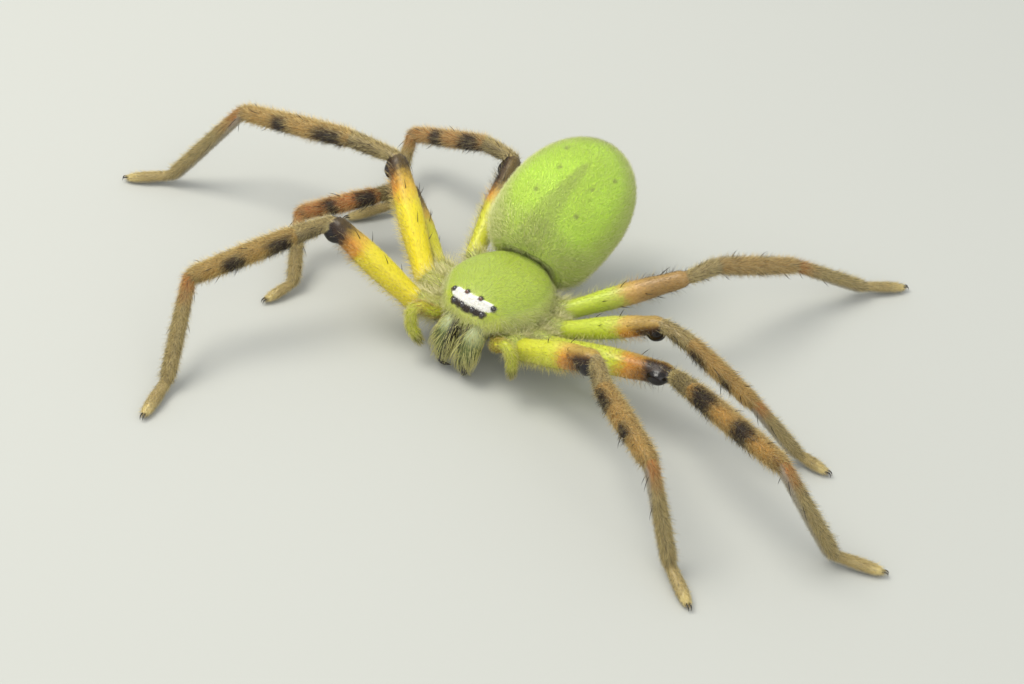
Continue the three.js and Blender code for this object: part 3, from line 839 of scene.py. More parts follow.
def trunk_colours(where, index):
    colours, _, _ = settings()
    body = where.body[index]
    x, y, z = body.T
    cloud = grain(where.places[index], 1.6)
    shade = mix(np.tile(colours.carapace, (len(x), 1)), colours.mark, np.clip(0.12 + 0.12 * cloud, 0, 1))
    shade = mix(shade, colours.rim, 0.75 * smoothstep(plate_edge(body), 0.86, 1.0))
    shade = mix(shade, colours.yellow, 0.12 * smoothstep(-y, 2.5, 3.6))
    shade = mix(shade, colours.mark, 0.18 * plate_rays(x, y, 0.6, 2.6))
    shade = mix(shade, colours.belly, smoothstep(MARGIN_LEVEL - 0.35 - z, 0, 0.4))
    white, black = bands(body)
    shade = mix(shade, colours.white, white)
    shade = mix(shade, colours.dark, black)
    for centre, radius in eyes.values():
        near = np.linalg.norm(where.places[index] - centre, axis=1) / radius
        shade = mix(shade, colours.dark, 0.9 * (1 - smoothstep(near, 1.1, 1.35)))
    return shade


# The pairs of small dark dots on the abdomen: how far beside the midline and how far back.
SIGILLA = ((1.9, -1.2), (1.55, 1.3), (2.3, 3.2))


def abdomen_colours(where, index):
    colours, _, _ = settings()
    egg, size = where.egg[index], where.egg_share[index]
    x, y, z = egg.T
    cloud = grain(where.places[index], 2.2)
    low = smoothstep(-size[:, 2], -0.3, 0.6)
    shade = mix(np.tile(colours.lime, (len(x), 1)), colours.carapace, np.clip(0.15 + 0.2 * cloud, 0, 1))
    # Paler towards the outline of the abdomen: painted sheen of its velvety nap.
    rim = smoothstep(np.hypot(size[:, 0], size[:, 1]), 0.7, 1.0)
    shade = mix(shade, mix(colours.rim, colours.carapace, 0.4), 0.55 * rim)
    shade = mix(shade, colours.belly, 0.9 * low)
    half = np.interp(y, (-4.7, -3.0, -0.5, 2.2, 3.4), (1.25, 1.2, 0.72, 0.42, 0.1))
    mark = (1 - smoothstep(np.abs(x + 0.12 * cloud), half * 0.5, half * 1.4)) * (1 - smoothstep(y, 2.4, 3.4))
    shade = mix(shade, colours.mark, 0.72 * mark * (z > 0))
    dot = mix(colours.mark, colours.dark, 0.35)
    for across, along in SIGILLA:
        for side in (1, -1):
            far = np.hypot(x - side * across, y - along)
            shade = mix(shade, dot, 0.75 * (1 - smoothstep(far, 0.1, 0.26)) * (z > 0))
    return mix(shade, colours.rim, 0.4 * smoothstep(-y, 2.0, 4.4))


def markings(where):
    """The colour of the skin at each place."""
    colours, _, _ = settings()
    painted = np.tile(np.array(colours.carapace), (len(where.part), 1))
    painters = {"leg": leg_colours, "palp": palp_colours, "jaw": jaw_colours}
    for number, limb in enumerate(limbs):
        index = np.flatnonzero(where.limb == number)
        if len(index):
            painted[index] = painters[limb.kind](where, index, limb)
    index = np.flatnonzero((where.part == where.TRUNK) & (where.limb < 0))
    painted[index] = trunk_colours(where, index)
    index = np.flatnonzero(where.part == where.ABDOMEN)
    painted[index] = abdomen_colours(where, index)
    painted[where.part == where.TAIL] = mix(colours.carapace, colours.belly, 0.6)
    painted[where.part == where.WAIST] = mix(colours.olive, colours.belly, 0.4)
    return painted


def knob_mask(where):
    """1 on the glossy bulge under the far end of each femur."""
    mask = np.zeros(len(where.part))
    for number, limb in enumerate(limbs):
        index = np.flatnonzero(where.limb == number)
        if limb.kind == "leg" and len(index):
            mask[index] = 1 - smoothstep(knob_distance(limb, where.places[index]), 0, 0.12)
    return mask


def store(obj, name, values, kind):
    attribute = obj.data.attributes.new(name, kind, "POINT")
    values = np.asarray(values, np.float32)
    if kind == "FLOAT_COLOR":
        values = np.concatenate([values, np.ones((len(values), 1), np.float32)], 1)
        attribute.data.foreach_set("color", values.ravel())
    else:
        attribute.data.foreach_set("value", values)


# Hair


def hair_mesh(name, roots, normals, lies, length, width, lift, droop, rings, base, tip, map_places):
    """One mesh of bent spikes with three sides, each closed at its root."""
    count = len(roots)
    lean = np.stack([lift] * 3, 1)
    ahead = lies * np.cos(lean) + normals * np.sin(lean)
    side = np.cross(ahead, normals)
    side /= np.maximum(np.linalg.norm(side, axis=1, keepdims=True), 1e-9)
    up = np.cross(side, ahead)
    shares = np.arange(rings) / rings
    corners = np.radians((90, 210, 330))
    per = rings * 3 + 1
    points = np.empty((count, per, 3), np.float32)
    shade = np.empty((count, per, 4), np.float32)
    flat = np.empty((count, per, 2), np.float32)
    shade[:, :, 3] = 1
    patch = 0.003
    for k, share in enumerate([*shares, 1]):
        bend = normals * (np.sin(lift) * droop * share**2)[:, None]
        middle = roots - normals * (width * 0.4)[:, None] + length[:, None] * (ahead * share - bend)
        half = width / 2 * (1 - share) ** 0.75
        blend = mix(base, tip, np.full(count, share))
        for c, corner in enumerate(corners if k < rings else corners[:1]):
            slot = k * 3 + c
            around = side * math.cos(corner) + up * math.sin(corner)
            points[:, slot] = middle + around * half[:, None]
            shade[:, slot, :3] = blend
            flat[:, slot] = map_places + np.array((c / 2 - 0.5, share - 0.5)) * patch
    floor = 0.02 * MM
    points[:, :, 2] = np.maximum(points[:, :, 2], floor)
    quads = [(k * 3 + c, k * 3 + (c + 1) % 3, k * 3 + 3 + (c + 1) % 3, k * 3 + 3 + c)
             for k in range(rings - 1) for c in range(3)]
    last = (rings - 1) * 3
    threes = [(last + c, last + (c + 1) % 3, rings * 3) for c in range(3)] + [(2, 1, 0)]
    corners_of = np.concatenate([np.array(quads, int).ravel(), np.array(threes).ravel()])
    sizes = np.array([4] * len(quads) + [3] * len(threes))
    loops = (corners_of[None] + np.arange(count)[:, None] * per).ravel()
    totals = np.tile(sizes, count)
    starts = np.concatenate([[0], np.cumsum(totals)[:-1]])
    mesh = bpy.data.meshes.new(name)
    mesh.vertices.add(count * per)
    mesh.vertices.foreach_set("co", points.ravel())
    mesh.loops.add(len(loops))
    mesh.loops.foreach_set("vertex_index", loops.astype(np.int32))
    mesh.polygons.add(len(totals))
    mesh.polygons.foreach_set("loop_start", starts.astype(np.int32))
    mesh.polygons.foreach_set("loop_total", totals.astype(np.int32))
    mesh.polygons.foreach_set("use_smooth", np.ones(len(totals), bool))
    uv = mesh.uv_layers.new(name="OFBake")
    uv.data.foreach_set("uv", flat.reshape(-1, 2)[loops].ravel())
    paint = mesh.attributes.new("marking", "FLOAT_COLOR", "POINT")
    paint.data.foreach_set("color", shade.ravel())
    mesh.update(calc_edges=True)
    mesh.validate()
    obj = bpy.data.objects.new(name, mesh)
    bpy.context.scene.collection.objects.link(obj)
    return obj


class Ground:
    """The triangles of the finished skin, on which hairs are rooted."""

    def __init__(self, skin):
        mesh = skin.data
        mesh.calc_loop_triangles()
        points = coordinates(skin)
        normals = np.empty(len(mesh.vertices) * 3, np.float32)
        mesh.vertices.foreach_get("normal", normals)
        triangles = np.empty(len(mesh.loop_triangles) * 3, np.int32)
        mesh.loop_triangles.foreach_get("vertices", triangles)
        self.points, self.normals = points, normals.reshape(-1, 3).astype(float)
        self.triangles = triangles.reshape(-1, 3)
        a, b, c = (points[self.triangles[:, i]] for i in range(3))
        self.areas = np.linalg.norm(np.cross(b - a, c - a), axis=1) / 2
        self.where = Where(points)
        self.first = self.triangles[:, 0]

    def sow(self, density, rng):
        """Roots spread by a density for each vertex, in hairs per square millimetre."""
        _, coat, _ = settings()
        expected = self.areas / MM**2 * density[self.first] * coat.share
        total = expected.sum()
        count = int(total)
        ticks = (np.arange(count) + rng.random(count)) / count * total
        chosen = np.searchsorted(np.cumsum(expected), ticks).clip(0, len(self.triangles) - 1)
        s, t = np.sqrt(rng.random(count)), rng.random(count)
        weights = np.stack([1 - s, s * (1 - t), s * t], 1)[:, :, None]
        corners = self.triangles[chosen]
        roots = (self.points[corners] * weights).sum(1)
        normals = (self.normals[corners] * weights).sum(1)
        normals /= np.linalg.norm(normals, axis=1, keepdims=True)
        keep = np.ones(count, bool)
        for centre, radius in eyes.values():
            keep &= np.linalg.norm(roots - centre, axis=1) > radius * 1.12
        return roots[keep], normals[keep]


def along_surface(direction, normals):
    flat = direction - normals * (direction * normals).sum(1, keepdims=True)
    return flat / np.maximum(np.linalg.norm(flat, axis=1, keepdims=True), 1e-9)


def coat_piece(name, ground, density, style, rng, material):
    """Sows roots, asks the style how each hair looks, and makes them one piece."""
    roots, normals = ground.sow(density, rng)
    where = Where(roots)
    look = style(where, normals, rng)
    keep = look["length"] > 0.02 * MM
    spread = rng.normal(0, look["mess"], (len(roots), 3))
    lies = along_surface(look["lie"] + spread, normals)
    obj = hair_mesh(
        name, roots[keep], normals[keep], lies[keep], look["length"][keep], look["width"][keep],
        look["lift"][keep], look["droop"], look["rings"], look["base"][keep], look["tip"][keep],
        where.unwrap()[keep],
    )
    obj.data.materials.append(material)
    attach(obj, "root")
    return obj


def many(count, value):
    return np.full(count, float(value))


def varied(values, rng, amount=0.25):
    return values * (1 + amount * (rng.random(len(values)) * 2 - 1))


# The hair of each segment of a leg, from the coxa to the tarsus: how many to a square millimetre, their
# share of the leg hair's length, their lift in degrees, and the shares of long, dark and pale ones.
LEG_HAIR = {
    "number": (80.0, 48, 180, 210, 215, 190),
    "length": (1.8, 0.5, 0.8, 0.88, 0.86, 0.66),
    "lift": (42, 20, 32, 34, 34, 32),
    "long": (0.35, 0.06, 0.26, 0.3, 0.28, 0.1),
    "dark": (0.03, 0.05, 0.22, 0.2, 0.22, 0.1),
    "pale": (0.6, 0.4, 0.5, 0.55, 0.5, 0.6),
}
WHISKER_SHARE = 0.6
# Width of the hairs in millimetres, and how many of them grow to a square millimetre off the legs.
HAIR_WIDTH = {"leg": 0.028, "palp": 0.036, "jaw": 0.05, "abdomen": 0.022, "plate": 0.03, "band": 0.034}
HAIR_NUMBER = {"palp": 95.0, "jaw": 28.0, "belly": 130, "back": 245, "plate": 75, "band": 420}


def leg_hair(name, segment):
    return np.array(LEG_HAIR[name])[segment]


def width(part, count):
    return np.full(count, HAIR_WIDTH[part] * MM)


def leg_style(where, normals, rng):
    """Hairs that lean towards the tip: short on the femur, brush-like beyond, a dense pad below the foot."""
    colours, coat, _ = settings()
    count = len(normals)
    segment = np.clip(where.along.astype(int), 0, 5)
    below = smoothstep(np.abs(where.angle), 1.5, 2.2)
    long = rng.random(count) < leg_hair("long", segment)
    whisker = (segment == 1) & (below > 0.3) & (rng.random(count) < WHISKER_SHARE)
    pad = (segment >= 4) * below
    length = coat.leg_length * leg_hair("length", segment)
    length = length * (1 - 0.5 * pad) * (1 + 0.4 * long + 2.1 * whisker)
    lift = np.radians(leg_hair("lift", segment) + 26 * long + 42 * whisker + 28 * pad)
    skin = markings(where)
    ink = 1 - smoothstep(skin.sum(1), 0.15, 0.75)
    chance = rng.random(count)
    few, most = leg_hair("dark", segment), 1 - leg_hair("pale", segment)
    dark = chance < few + (0.72 - few) * ink
    pale = (chance > most + (0.92 - most) * ink) | whisker | (long & ~dark)
    tip = mix(skin, mix(colours.gold, colours.cream, 0.5), 0.3)
    tip = np.where(pale[:, None], mix(skin, colours.cream, 0.45 + 0.35 * ((segment != 1) | whisker)), tip)
    tip = np.where(dark[:, None], mix(skin, colours.dark, 0.7), tip)
    tip = mix(tip, mix(colours.cream, colours.white, 0.35), 0.6 * (segment == 0))
    tip = mix(tip, colours.grey, 0.65 * pad)
    base = np.where(dark[:, None], mix(skin, colours.dark, 0.45), mix(skin, tip, 0.35))
    bald = knob_mask(where) > 0.3
    return {
        "length": np.where(bald, 0, varied(length, rng)), "width": varied(width("leg", count), rng, 0.2),
        "lift": varied(lift, rng, 0.4), "droop": 0.2, "rings": 1, "mess": 0.24,
        "lie": where.axis, "base": base, "tip": tip,
    }


def leg_density(where):
    segment = np.clip(where.along.astype(int), 0, 5)
    below = smoothstep(np.abs(where.angle), 1.6, 2.2)
    return leg_hair("number", segment) * (1 + 0.35 * below * (segment >= 4))


def abdomen_style(where, normals, rng):
    """A short nap that lies backwards, longer in front and at the sides, paler at the sides as painted sheen,
    and darker on the heart mark.
    """
    colours, coat, _ = settings()
    count = len(normals)
    y = where.egg[:, 1]
    size = where.egg_share
    front = smoothstep(-y, 2.2, 4.4)
    rim = smoothstep(np.hypot(size[:, 0], size[:, 1]), 0.72, 1.0)
    # Paler tips in front and below; the paler tips at the sides are painted sheen.
    pale = np.maximum(front, np.maximum(0.7 * rim, smoothstep(-size[:, 2], -0.35, 0.3)))
    skin = markings(where)
    marked = (skin * (0.2, 1, 0)).sum(1) < 0.4
    length = coat.body_length * (1 + 1.3 * front + 0.5 * rim)
    chance = rng.random(count)
    dark = chance < 0.1 + 0.35 * marked + 0.15 * front
    tip = mix(skin, mix(colours.cream, colours.white, 0.3), 0.5 + 0.35 * pale)
    tip = np.where(dark[:, None], mix(skin, colours.olive, 0.65), tip)
    return {
        "length": varied(length, rng, 0.35), "width": varied(width("abdomen", count), rng, 0.2),
        "lift": varied(np.radians(36 + 14 * front + 8 * rim), rng, 0.5), "droop": 0.4, "rings": 1,
        "mess": 0.25,
        "lie": where.axis, "base": mix(skin, colours.mark, 0.05), "tip": tip,
    }


def trunk_style(where, normals, rng):
    """Fine down on the carapace, longer pale hair at its margin and below it."""
    colours, coat, _ = settings()
    count = len(normals)
    x, y, z = where.body.T
    margin = smoothstep(plate_edge(where.body), 0.9, 1.0)
    lie = np.stack([0.25 * x, np.full(count, 1.0), 0 * z], 1)
    face = (y < -3.3) & (z < 5.6)
    lie[face] = (0, -0.5, -1)
    outward = np.stack([x, y + 0.6, np.full(count, -0.8)], 1)
    outward /= np.linalg.norm(outward, axis=1, keepdims=True)
    lie = mix(lie, outward, 0.8 * margin)
    skin = markings(where)
    length = coat.body_length * (0.75 + 1.6 * margin)
    tip = mix(skin, mix(colours.cream, colours.white, 0.3), 0.5 + 0.35 * margin)
    return {
        "length": varied(length, rng, 0.3), "width": varied(width("plate", count), rng, 0.2),
        "lift": varied(np.radians(17 + 34 * margin), rng, 0.4), "droop": 0.35, "rings": 2, "mess": 0.12,
        "lie": lie, "base": mix(skin, colours.rim, 0.25), "tip": tip,
    }


def band_style(where, normals, rng):
    """Dense short hair of the white and the black band."""
    colours, _, _ = settings()
    count = len(normals)
    white, _ = bands(where.body)
    pale = white > 0.5
    base = np.where(pale[:, None], mix(colours.white, colours.cream, 0.25), colours.dark)
    tip = np.where(pale[:, None], colours.white, mix(colours.dark, colours.brown, 0.25))
    lie = np.where(pale[:, None], (0.0, -1.0, 0.1), (0.0, -0.6, -1.0))
    return {
        "length": varied(np.where(pale, 0.2 * MM, 0.13 * MM), rng), "width": width("band", count),
        "lift": varied(np.radians(np.where(pale, 24, 16)), rng, 0.5), "droop": 0.7, "rings": 2, "mess": 0.15,
        "lie": lie, "base": base, "tip": tip,
    }


def jaw_style(where, normals, rng):
    """Long drooping pale bristles over skin darkened as painted shade between them, shortest at the top."""
    colours, coat, _ = settings()
    count = len(normals)
    along = where.along
    outwards = np.sign(where.body[:, 0]) * smoothstep(np.abs(where.body[:, 0]), 0.7, 1.4)
    lie = where.axis + np.stack([0.5 * outwards, many(count, -0.1), many(count, -0.3)], 1)
    short = rng.random(count) < np.interp(along, (0, 0.25, 0.4), (0.95, 0.5, 0.15))
    long = np.interp(along, (0, 0.2, 0.5, 1), (0.6, 0.85, 1.0, 0.8))
    length = coat.jaw_length * np.where(short, 0.25, long)
    pale = mix(colours.cream, colours.carapace, 0.3)
    dark = mix(colours.dark, colours.olive, 0.3)
    streak = (rng.random(count) < 0.16)[:, None]
    return {
        "length": varied(length, rng), "width": varied(width("jaw", count), rng, 0.2),
        "lift": varied(np.radians(24 + 8 * along), rng, 0.5), "droop": 0.8, "rings": 4, "mess": 0.12,
        "lie": lie, "base": np.where(streak, dark, mix(pale, colours.olive, 0.45)),
        "tip": np.where(streak, mix(dark, colours.cream, 0.3), pale),
    }


def palp_style(where, normals, rng):
    """Soft pale fuzz, with brown bristles near the root."""
    colours, coat, _ = settings()
    count = len(normals)
    skin = markings(where)
    chance = rng.random(count)[:, None]
    tip = mix(skin, colours.cream, 0.65)
    tip = np.where(chance < 0.16, mix(skin, colours.dark, 0.6), tip)
    brown = (chance < 0.5) & (where.along < 2.2)[:, None]
    tip = np.where(brown, mix(colours.orange, colours.brown, 0.4), tip)
    return {
        "length": varied(many(count, coat.leg_length * 0.95), rng),
        "width": varied(width("palp", count), rng, 0.2),
        "lift": varied(np.radians(many(count, 42)), rng, 0.4), "droop": 0.4, "rings": 2, "mess": 0.25,
        "lie": where.axis, "base": mix(skin, tip, 0.3), "tip": tip,
    }


# Materials


def nodes_of(material):
    material.use_nodes = True
    tree = material.node_tree
    return tree, tree.nodes["Principled BSDF"]


def node(tree, kind, inputs=(), **values):
    """A shader node with its values. Each input is set to a number or linked to a socket."""
    added = tree.nodes.new(f"ShaderNode{kind}")
    for name, value in values.items():
        setattr(added, name, value)
    for name, value in dict(inputs).items():
        if isinstance(value, bpy.types.NodeSocket):
            tree.links.new(value, added.inputs[name])
        else:
            added.inputs[name].default_value = value
    return added


def mottle_group():
    """Fine mottling: a colour with paler and darker flecks, and a height for bumps."""
    group = bpy.data.node_groups.get("Mottle")
    if group:
        return group
    group = bpy.data.node_groups.new("Mottle", "ShaderNodeTree")
    face = group.interface
    face.new_socket("Color", in_out="INPUT", socket_type="NodeSocketColor")
    for name, value in (("Fleck size", 0.25), ("Amount", 0.15)):
        face.new_socket(name, in_out="INPUT", socket_type="NodeSocketFloat").default_value = value
    face.new_socket("Color", in_out="OUTPUT", socket_type="NodeSocketColor")
    face.new_socket("Height", in_out="OUTPUT", socket_type="NodeSocketFloat")
    inside, outside = group.nodes.new("NodeGroupInput").outputs, group.nodes.new("NodeGroupOutput").inputs
    place_of = node(group, "TexCoord").outputs["Object"]
    scale = node(group, "Math", {0: 1 / MM, 1: inside["Fleck size"]}, operation="DIVIDE").outputs[0]
    cloud = node(group, "TexNoise", {"Detail": 4, "Vector": place_of, "Scale": scale}).outputs["Fac"]
    centred = node(group, "Math", {0: cloud, 1: 0.5}, operation="SUBTRACT").outputs[0]
    gain = node(group, "Math", {0: centred, 1: inside["Amount"], 2: 1}, operation="MULTIPLY_ADD").outputs[0]
    shade = node(group, "VectorMath", {0: inside["Color"], "Scale": gain}, operation="SCALE").outputs[0]
    group.links.new(shade, outside["Color"])
    group.links.new(cloud, outside["Height"])
    return group


def mottled(tree, shader, colour, fleck, amount):
    """Gives the shader a mottled colour, and returns the node of the mottling."""
    inputs = {"Color": colour, "Fleck size": fleck, "Amount": amount}
    mottle = node(tree, "Group", inputs, node_tree=mottle_group())
    tree.links.new(mottle.outputs["Color"], shader.inputs["Base Color"])
    return mottle


def set_inputs(shader, values):
    for name, value in values.items():
        shader.inputs[name].default_value = value


def painted_material(name, roughness, fleck, amount, bump):
    """A material that reads the markings and adds mottling and a fine bump."""
    material = bpy.data.materials.new(name)
    tree, shader = nodes_of(material)
    paint = node(tree, "Attribute", attribute_name="marking")
    mottle = mottled(tree, shader, paint.outputs["Color"], fleck, amount)
    if bump:
        height = {"Strength": bump, "Distance": 0.03 * MM, "Height": mottle.outputs["Height"]}
        tree.links.new(node(tree, "Bump", height).outputs["Normal"], shader.inputs["Normal"])
    shader.inputs["Roughness"].default_value = roughness
    return material, tree, shader


def skin_material():
    material, tree, shader = painted_material("spider skin", 0.4, 0.18, 0.35, 0.25)
    gloss = node(tree, "Attribute", attribute_name="roughness")
    tree.links.new(gloss.outputs["Fac"], shader.inputs["Roughness"])
    set_inputs(shader, {
        "Subsurface Weight": 0.25, "Subsurface Radius": (1.0, 0.8, 0.3), "Subsurface Scale": 0.4 * MM,
        "Specular IOR Level": 0.45,
    })
    return material


def hair_material():
    material, _, shader = painted_material("spider hair", 0.5, 0.4, 0.2, 0)
    set_inputs(shader, {"Specular IOR Level": 0.35, "Sheen Weight": 0.15})
    return material


def horn_material(name, text, roughness, coat):
    """Dark polished horn, finely mottled."""
    material = bpy.data.materials.new(name)
    tree, shader = nodes_of(material)
    mottled(tree, shader, (*srgb(text), 1), 0.12, 0.8)
    set_inputs(shader, {"Roughness": roughness, "Coat Weight": coat, "Coat Roughness": 0.05})
    return material


def lens_material(name, middle, edge):
    """A clear wet lens: the colour shows through at its middle and darkens to its edge."""
    material = bpy.data.materials.new(name)
    tree, shader = nodes_of(material)
    rim = node(tree, "Attribute", attribute_name="rim")
    ramp = node(tree, "ValToRGB", {"Fac": rim.outputs["Fac"]})
    for element, text, position in zip(ramp.color_ramp.elements, (middle, edge), (0.35, 0.75)):
        element.color = (*srgb(text), 1)
        element.position = position
    tree.links.new(ramp.outputs["Color"], shader.inputs["Base Color"])
    set_inputs(shader, {"Roughness": 0.06, "Coat Weight": 1, "Coat Roughness": 0.02})
    return material


# Operators


BODY_NODES = ["cephalothorax", "abdomen", "pedicel", "spinnerets"]
made = {}


class SPIDER_OT_skin(bpy.types.Operator):
    """One skin over the body, legs, palps and chelicerae, painted with the markings"""

    bl_idname = "spider.skin"
    bl_label = "Skin"

    def execute(self, context):
        skin = skin_mesh()
        ground = Ground(skin)
        store(skin, "marking", markings(ground.where), "FLOAT_COLOR")
        rough = np.where(ground.where.part == Where.ABDOMEN, 0.52, 0.42)
        rough = rough * (1 - knob_mask(ground.where)) + 0.2 * knob_mask(ground.where)
        store(skin, "roughness", rough, "FLOAT")
        skin.data.materials.clear()
        skin.data.materials.append(skin_material())
        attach(skin, "root")
        limb_nodes = [f"{limb.name}_{s}" for limb in limbs if limb.kind == "leg" for s in SEGMENTS]
        limb_nodes += [limb.name for limb in limbs if limb.kind != "leg"]
        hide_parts(*BODY_NODES, *limb_nodes)
        made["ground"] = ground
        return {"FINISHED"}


class SPIDER_OT_eyes(bpy.types.Operator):
    """Eight lenses, black but for the amber middle pair of the rear row"""

    bl_idname = "spider.eyes"
    bl_label = "Eyes"

    def execute(self, context):
        black = lens_material("black lens", "1b0f08", "050404")
        amber = lens_material("amber lens", "5a3216", "140a05")
        for name, (centre, radius) in eyes.items():
            lens = ball((0, 0, 0), (1, 1, 1), 40, 20)
            away = Vector(centre - place((0, 0, MARGIN_LEVEL))).normalized()
            points = coordinates(lens)
            facing = points @ np.array((0, 0, 1.0))
            turn = np.array(away.to_track_quat("Z", "Y").to_matrix())
            points[:, 2] *= 0.92
            move_to(lens, points @ turn.T * radius + centre)
            store(lens, "rim", np.degrees(np.arccos(np.clip(facing, -1, 1))) / 90, "FLOAT")
            dressed(lens, f"lens_{name}", amber if name.startswith("PME") else black)
            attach(lens, "root")
            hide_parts(f"eye_{name}")
        return {"FINISHED"}


class SPIDER_OT_fangs(bpy.types.Operator):
    """A curved fang folded under each chelicera"""

    bl_idname = "spider.fangs"
    bl_label = "Fangs"

    def execute(self, context):
        horn = horn_material("fang horn", "140b07", 0.18, 0.8)
        for hand, side in HANDS.items():
            low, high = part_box(f"fang_{hand}")
            root = ((high.x if side > 0 else low.x) - side * 0.32 * MM, (low.y + high.y) / 2, high.z)
            tip = ((low.x if side > 0 else high.x) + side * 0.06 * MM, high.y - 0.1 * MM, low.z + 0.12 * MM)
            knee = (root[0] - side * 0.05 * MM, (low.y + high.y) / 2 - 0.08 * MM, low.z + 0.3 * MM)
            points = curved([root, knee, tip], 18)
            radii = np.interp(np.linspace(0, 1, 18), (0, 0.3, 0.7, 1), (0.28, 0.26, 0.15, 0.03)) * MM
            fang = dressed(rounded_tube(points, radii, 8), f"horn_fang_{hand}", horn)
            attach(fang, "root")
            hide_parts(f"fang_{hand}")
        return {"FINISHED"}


class SPIDER_OT_claws(bpy.types.Operator):
    """Two curved claws at the tip of each foot"""

    bl_idname = "spider.claws"
    bl_label = "Claws"

    def execute(self, context):
        horn = horn_material("claw horn", "1d130c", 0.25, 0.5)
        for limb in limbs:
            if limb.kind != "leg":
                continue
            tip, ahead, across = limb.points[-1], limb.axis[-3], limb.front[-3]
            level = np.array((0, 0, 1.0))
            claws = []
            for side in (1, -1):
                root = tip + across * side * 0.11 * MM + level * 0.12 * MM + ahead * 0.1 * MM
                middle = root + ahead * 0.32 * MM + level * 0.05 * MM
                end = root + ahead * 0.44 * MM - level * 0.24 * MM
                points = curved([root, middle, end], 10)
                radii = np.interp(np.linspace(0, 1, 10), (0, 0.5, 1), (0.062, 0.05, 0.01)) * MM
                claws.append(rounded_tube(points, radii, 3))
            name = f"claws_{limb.name}"
            pair = dressed(joined(claws, name), name, horn)
            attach(pair, "root")
        return {"FINISHED"}


# Spines of each segment: how far along it, the angle from its back in degrees, and the length in millimetres.
SPINES = {
    1: ((0.28, 0, 0.9), (0.42, 62, 1.0), (0.5, -58, 1.1), (0.62, 14, 0.95), (0.72, 75, 0.9), (0.8, -66, 1.0)),
    2: ((0.5, 85, 0.8), (0.55, -85, 0.8)),
    3: ((0.12, 110, 1.1), (0.18, -105, 1.1), (0.42, 70, 1.1), (0.5, -75, 1.1), (0.55, 150, 1.2),
        (0.72, -140, 1.2), (0.8, 95, 1.0), (0.85, 5, 0.8)),
    4: ((0.1, 140, 1.1), (0.12, -140, 1.1), (0.4, 100, 1.0), (0.45, -100, 1.0)),
}


class SPIDER_OT_spines(bpy.types.Operator):
    """Thin dark spines on femora, patellae, tibiae and metatarsi"""

    bl_idname = "spider.spines"
    bl_label = "Spines"

    def execute(self, context):
        rng = np.random.default_rng(RNG_SEED + 90)
        horn = horn_material("spine horn", "1a110b", 0.3, 0.3)
        spines = []
        for limb in limbs:
            if limb.kind != "leg":
                continue
            for segment, places in SPINES.items():
                for share, degrees, length in places:
                    at = segment + share + rng.normal(0, 0.02)
                    step = int(np.abs(limb.along - at).argmin())
                    angle = math.radians(degrees + rng.normal(0, 8))
                    out = limb.back[step] * math.cos(angle) + limb.front[step] * math.sin(angle)
                    root = limb.points[step] + out * limb.radii[step] * 0.9
                    lean = math.radians(rng.uniform(22, 48))
                    ahead = limb.axis[step] * math.cos(lean) + out * math.sin(lean)
                    size = length * MM * rng.uniform(0.85, 1.15)
                    end = root + ahead * size
                    middle = (root + end) / 2 + out * size * 0.06
                    points = curved([root, middle, end], 5)
                    points[:, 2] = np.maximum(points[:, 2], 0.08 * MM)
                    spines.append(rounded_spine(points, 0.032 * MM))
        spines = dressed(joined(spines, "spines"), "spines", horn)
        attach(spines, "root")
        return {"FINISHED"}


def rounded_spine(points, radius):
    radii = np.interp(np.linspace(0, 1, len(points)), (0, 0.15, 0.6, 1), (0.7, 1, 0.75, 0.08)) * radius
    return tube(points, radii, 1)


class SPIDER_OT_coat(bpy.types.Operator):
    """All hair, sown on the skin: legs, abdomen, carapace, eye bands, chelicerae and palps"""

    bl_idname = "spider.coat"
    bl_label = "Coat"

    def execute(self, context):
        ground = made["ground"]
        where = ground.where
        hair = hair_material()
        legs = np.where(where.part == Where.LEG, leg_density(where), 0)
        styles = {"leg": leg_style, "palp": palp_style, "jaw": jaw_style}
        densities = {"leg": legs, "palp": HAIR_NUMBER["palp"], "jaw": HAIR_NUMBER["jaw"]}
        for number, limb in enumerate(limbs):
            rng = np.random.default_rng(RNG_SEED + number)
            density = np.where(where.limb == number, densities[limb.kind], 0)
            coat_piece(
                f"coat_{limb.name}", ground, density, styles[limb.kind], rng, hair)
        rng = np.random.default_rng(RNG_SEED + 50)
        front = smoothstep(-where.egg[:, 1], 2.6, 4.4)
        nap = np.where(where.part == Where.ABDOMEN, 1 - 0.3 * front, 0)
        nap = np.where((where.part == Where.TAIL) | (where.part == Where.WAIST), 0.4, nap)
        above = where.egg[:, 2] > 0
        few, most = HAIR_NUMBER["belly"], HAIR_NUMBER["back"]
        nap *= few + (most - few) * smoothstep(where.egg[:, 2], 0, 2.5)
        coat_piece("coat_abdomen", ground, nap * above, abdomen_style, rng, hair)
        coat_piece("coat_abdomen_below", ground, nap * ~above, abdomen_style, rng, hair)
        white, black = bands(where.body)
        trunk = where.part == Where.TRUNK
        band = np.maximum(white, black) > 0.5
        down = np.where(trunk & ~band, HAIR_NUMBER["plate"], 0)
        coat_piece("coat_carapace", ground, down, trunk_style, rng, hair)
        dense = np.where(trunk & band, HAIR_NUMBER["band"], 0)
        coat_piece("coat_eye_bands", ground, dense, band_style, rng, hair)
        return {"FINISHED"}


# The camera's place in millimetres of the body, and the place, size and power of each soft light.
CAMERA_PLACE = (78.45, -112.16, 113.75)
LIGHTS = (((-0.13, -0.05, 0.27), 0.16, 0.72), ((0.2, -0.12, 0.2), 0.24, 0.2))
FLOOR_SIZE, SKY_STRENGTH = 4, 0.9


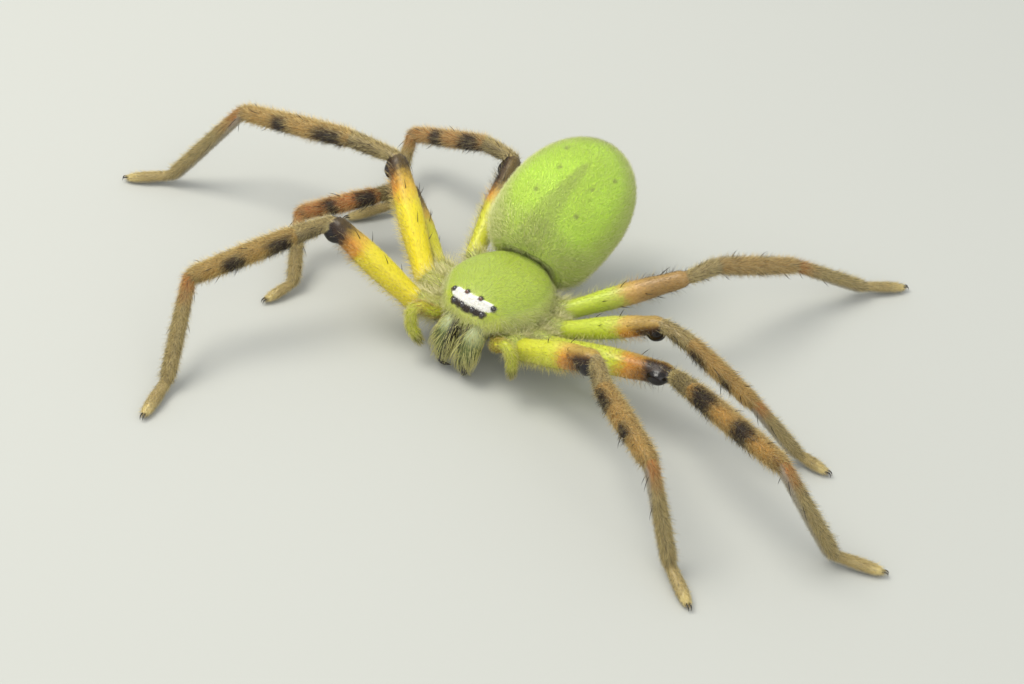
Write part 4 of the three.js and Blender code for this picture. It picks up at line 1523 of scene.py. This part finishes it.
class SPIDER_OT_stage(bpy.types.Operator):
    """Pale floor, soft light and the camera"""

    bl_idname = "spider.stage"
    bl_label = "Stage"

    def execute(self, context):
        _, _, stage = settings()
        deselect()
        bpy.ops.mesh.primitive_plane_add(size=FLOOR_SIZE)
        floor = bpy.context.object
        floor.name = "floor"
        plain = bpy.data.materials.new("pale floor")
        _, shader = nodes_of(plain)
        set_inputs(shader, {"Base Color": (*srgb("b4b5ae"), 1), "Roughness": 0.85})
        floor.data.materials.append(plain)
        world = bpy.data.worlds.new("soft light")
        context.scene.world = world
        world.use_nodes = True
        sky = world.node_tree.nodes["Background"]
        set_inputs(sky, {"Color": (0.93, 0.96, 1, 1), "Strength": SKY_STRENGTH})
        for spot_at, size, power in LIGHTS:
            spot_at = Vector(spot_at)
            turn = (-spot_at).to_track_quat("-Z", "Y").to_euler()
            bpy.ops.object.light_add(type="AREA", radius=size, location=spot_at, rotation=turn)
            lamp = bpy.context.object
            lamp.data.energy = power
            lamp.data.color = (1, 0.97, 0.9)
        a, e, roll = stage.azimuth, stage.elevation, stage.roll
        right = np.array((math.cos(a), math.sin(a), 0))
        up = np.array((-math.sin(a) * math.sin(e), math.cos(a) * math.sin(e), math.cos(e)))
        back = np.array((math.sin(a) * math.cos(e), -math.cos(a) * math.cos(e), math.sin(e)))
        turned = Matrix((
            right * math.cos(roll) + up * math.sin(roll), up * math.cos(roll) - right * math.sin(roll), back
        )).transposed()
        bpy.ops.object.camera_add(location=place(CAMERA_PLACE), rotation=turned.to_euler())
        camera = bpy.context.object
        camera.data.lens = stage.lens
        camera.data.clip_start = 0.005
        context.scene.camera = camera
        context.scene.view_settings.view_transform = "Standard"
        return {"FINISHED"}


OPERATORS = (
    SPIDER_OT_stage, SPIDER_OT_skin, SPIDER_OT_eyes, SPIDER_OT_fangs, SPIDER_OT_claws, SPIDER_OT_spines,
    SPIDER_OT_coat,
)


class SPIDER_PT_panel(bpy.types.Panel):
    """Lists the pieces of the spider"""

    bl_label = "Huntsman spider"
    bl_space_type = "VIEW_3D"
    bl_region_type = "UI"
    bl_category = "Spider"

    def draw(self, context):
        for group in ("spider_colours", "spider_coat", "spider_stage"):
            for name in getattr(context.scene, group).__annotations__:
                self.layout.prop(getattr(context.scene, group), name)
        for operator in OPERATORS:
            self.layout.operator(operator.bl_idname)


CLASSES = (SpiderColours, SpiderCoat, SpiderStage, *OPERATORS, SPIDER_PT_panel)


def register():
    for cls in CLASSES:
        bpy.utils.register_class(cls)
    bpy.types.Scene.spider_colours = bpy.props.PointerProperty(type=SpiderColours)
    bpy.types.Scene.spider_coat = bpy.props.PointerProperty(type=SpiderCoat)
    bpy.types.Scene.spider_stage = bpy.props.PointerProperty(type=SpiderStage)


def unregister():
    for name in ("spider_colours", "spider_coat", "spider_stage"):
        delattr(bpy.types.Scene, name)
    for cls in reversed(CLASSES):
        bpy.utils.unregister_class(cls)


def main():
    register()
    bpy.ops.spider.stage()
    bpy.ops.spider.skin()
    bpy.ops.spider.eyes()
    bpy.ops.spider.fangs()
    bpy.ops.spider.claws()
    bpy.ops.spider.spines()
    bpy.ops.spider.coat()


if __name__ == "__main__":
    main()
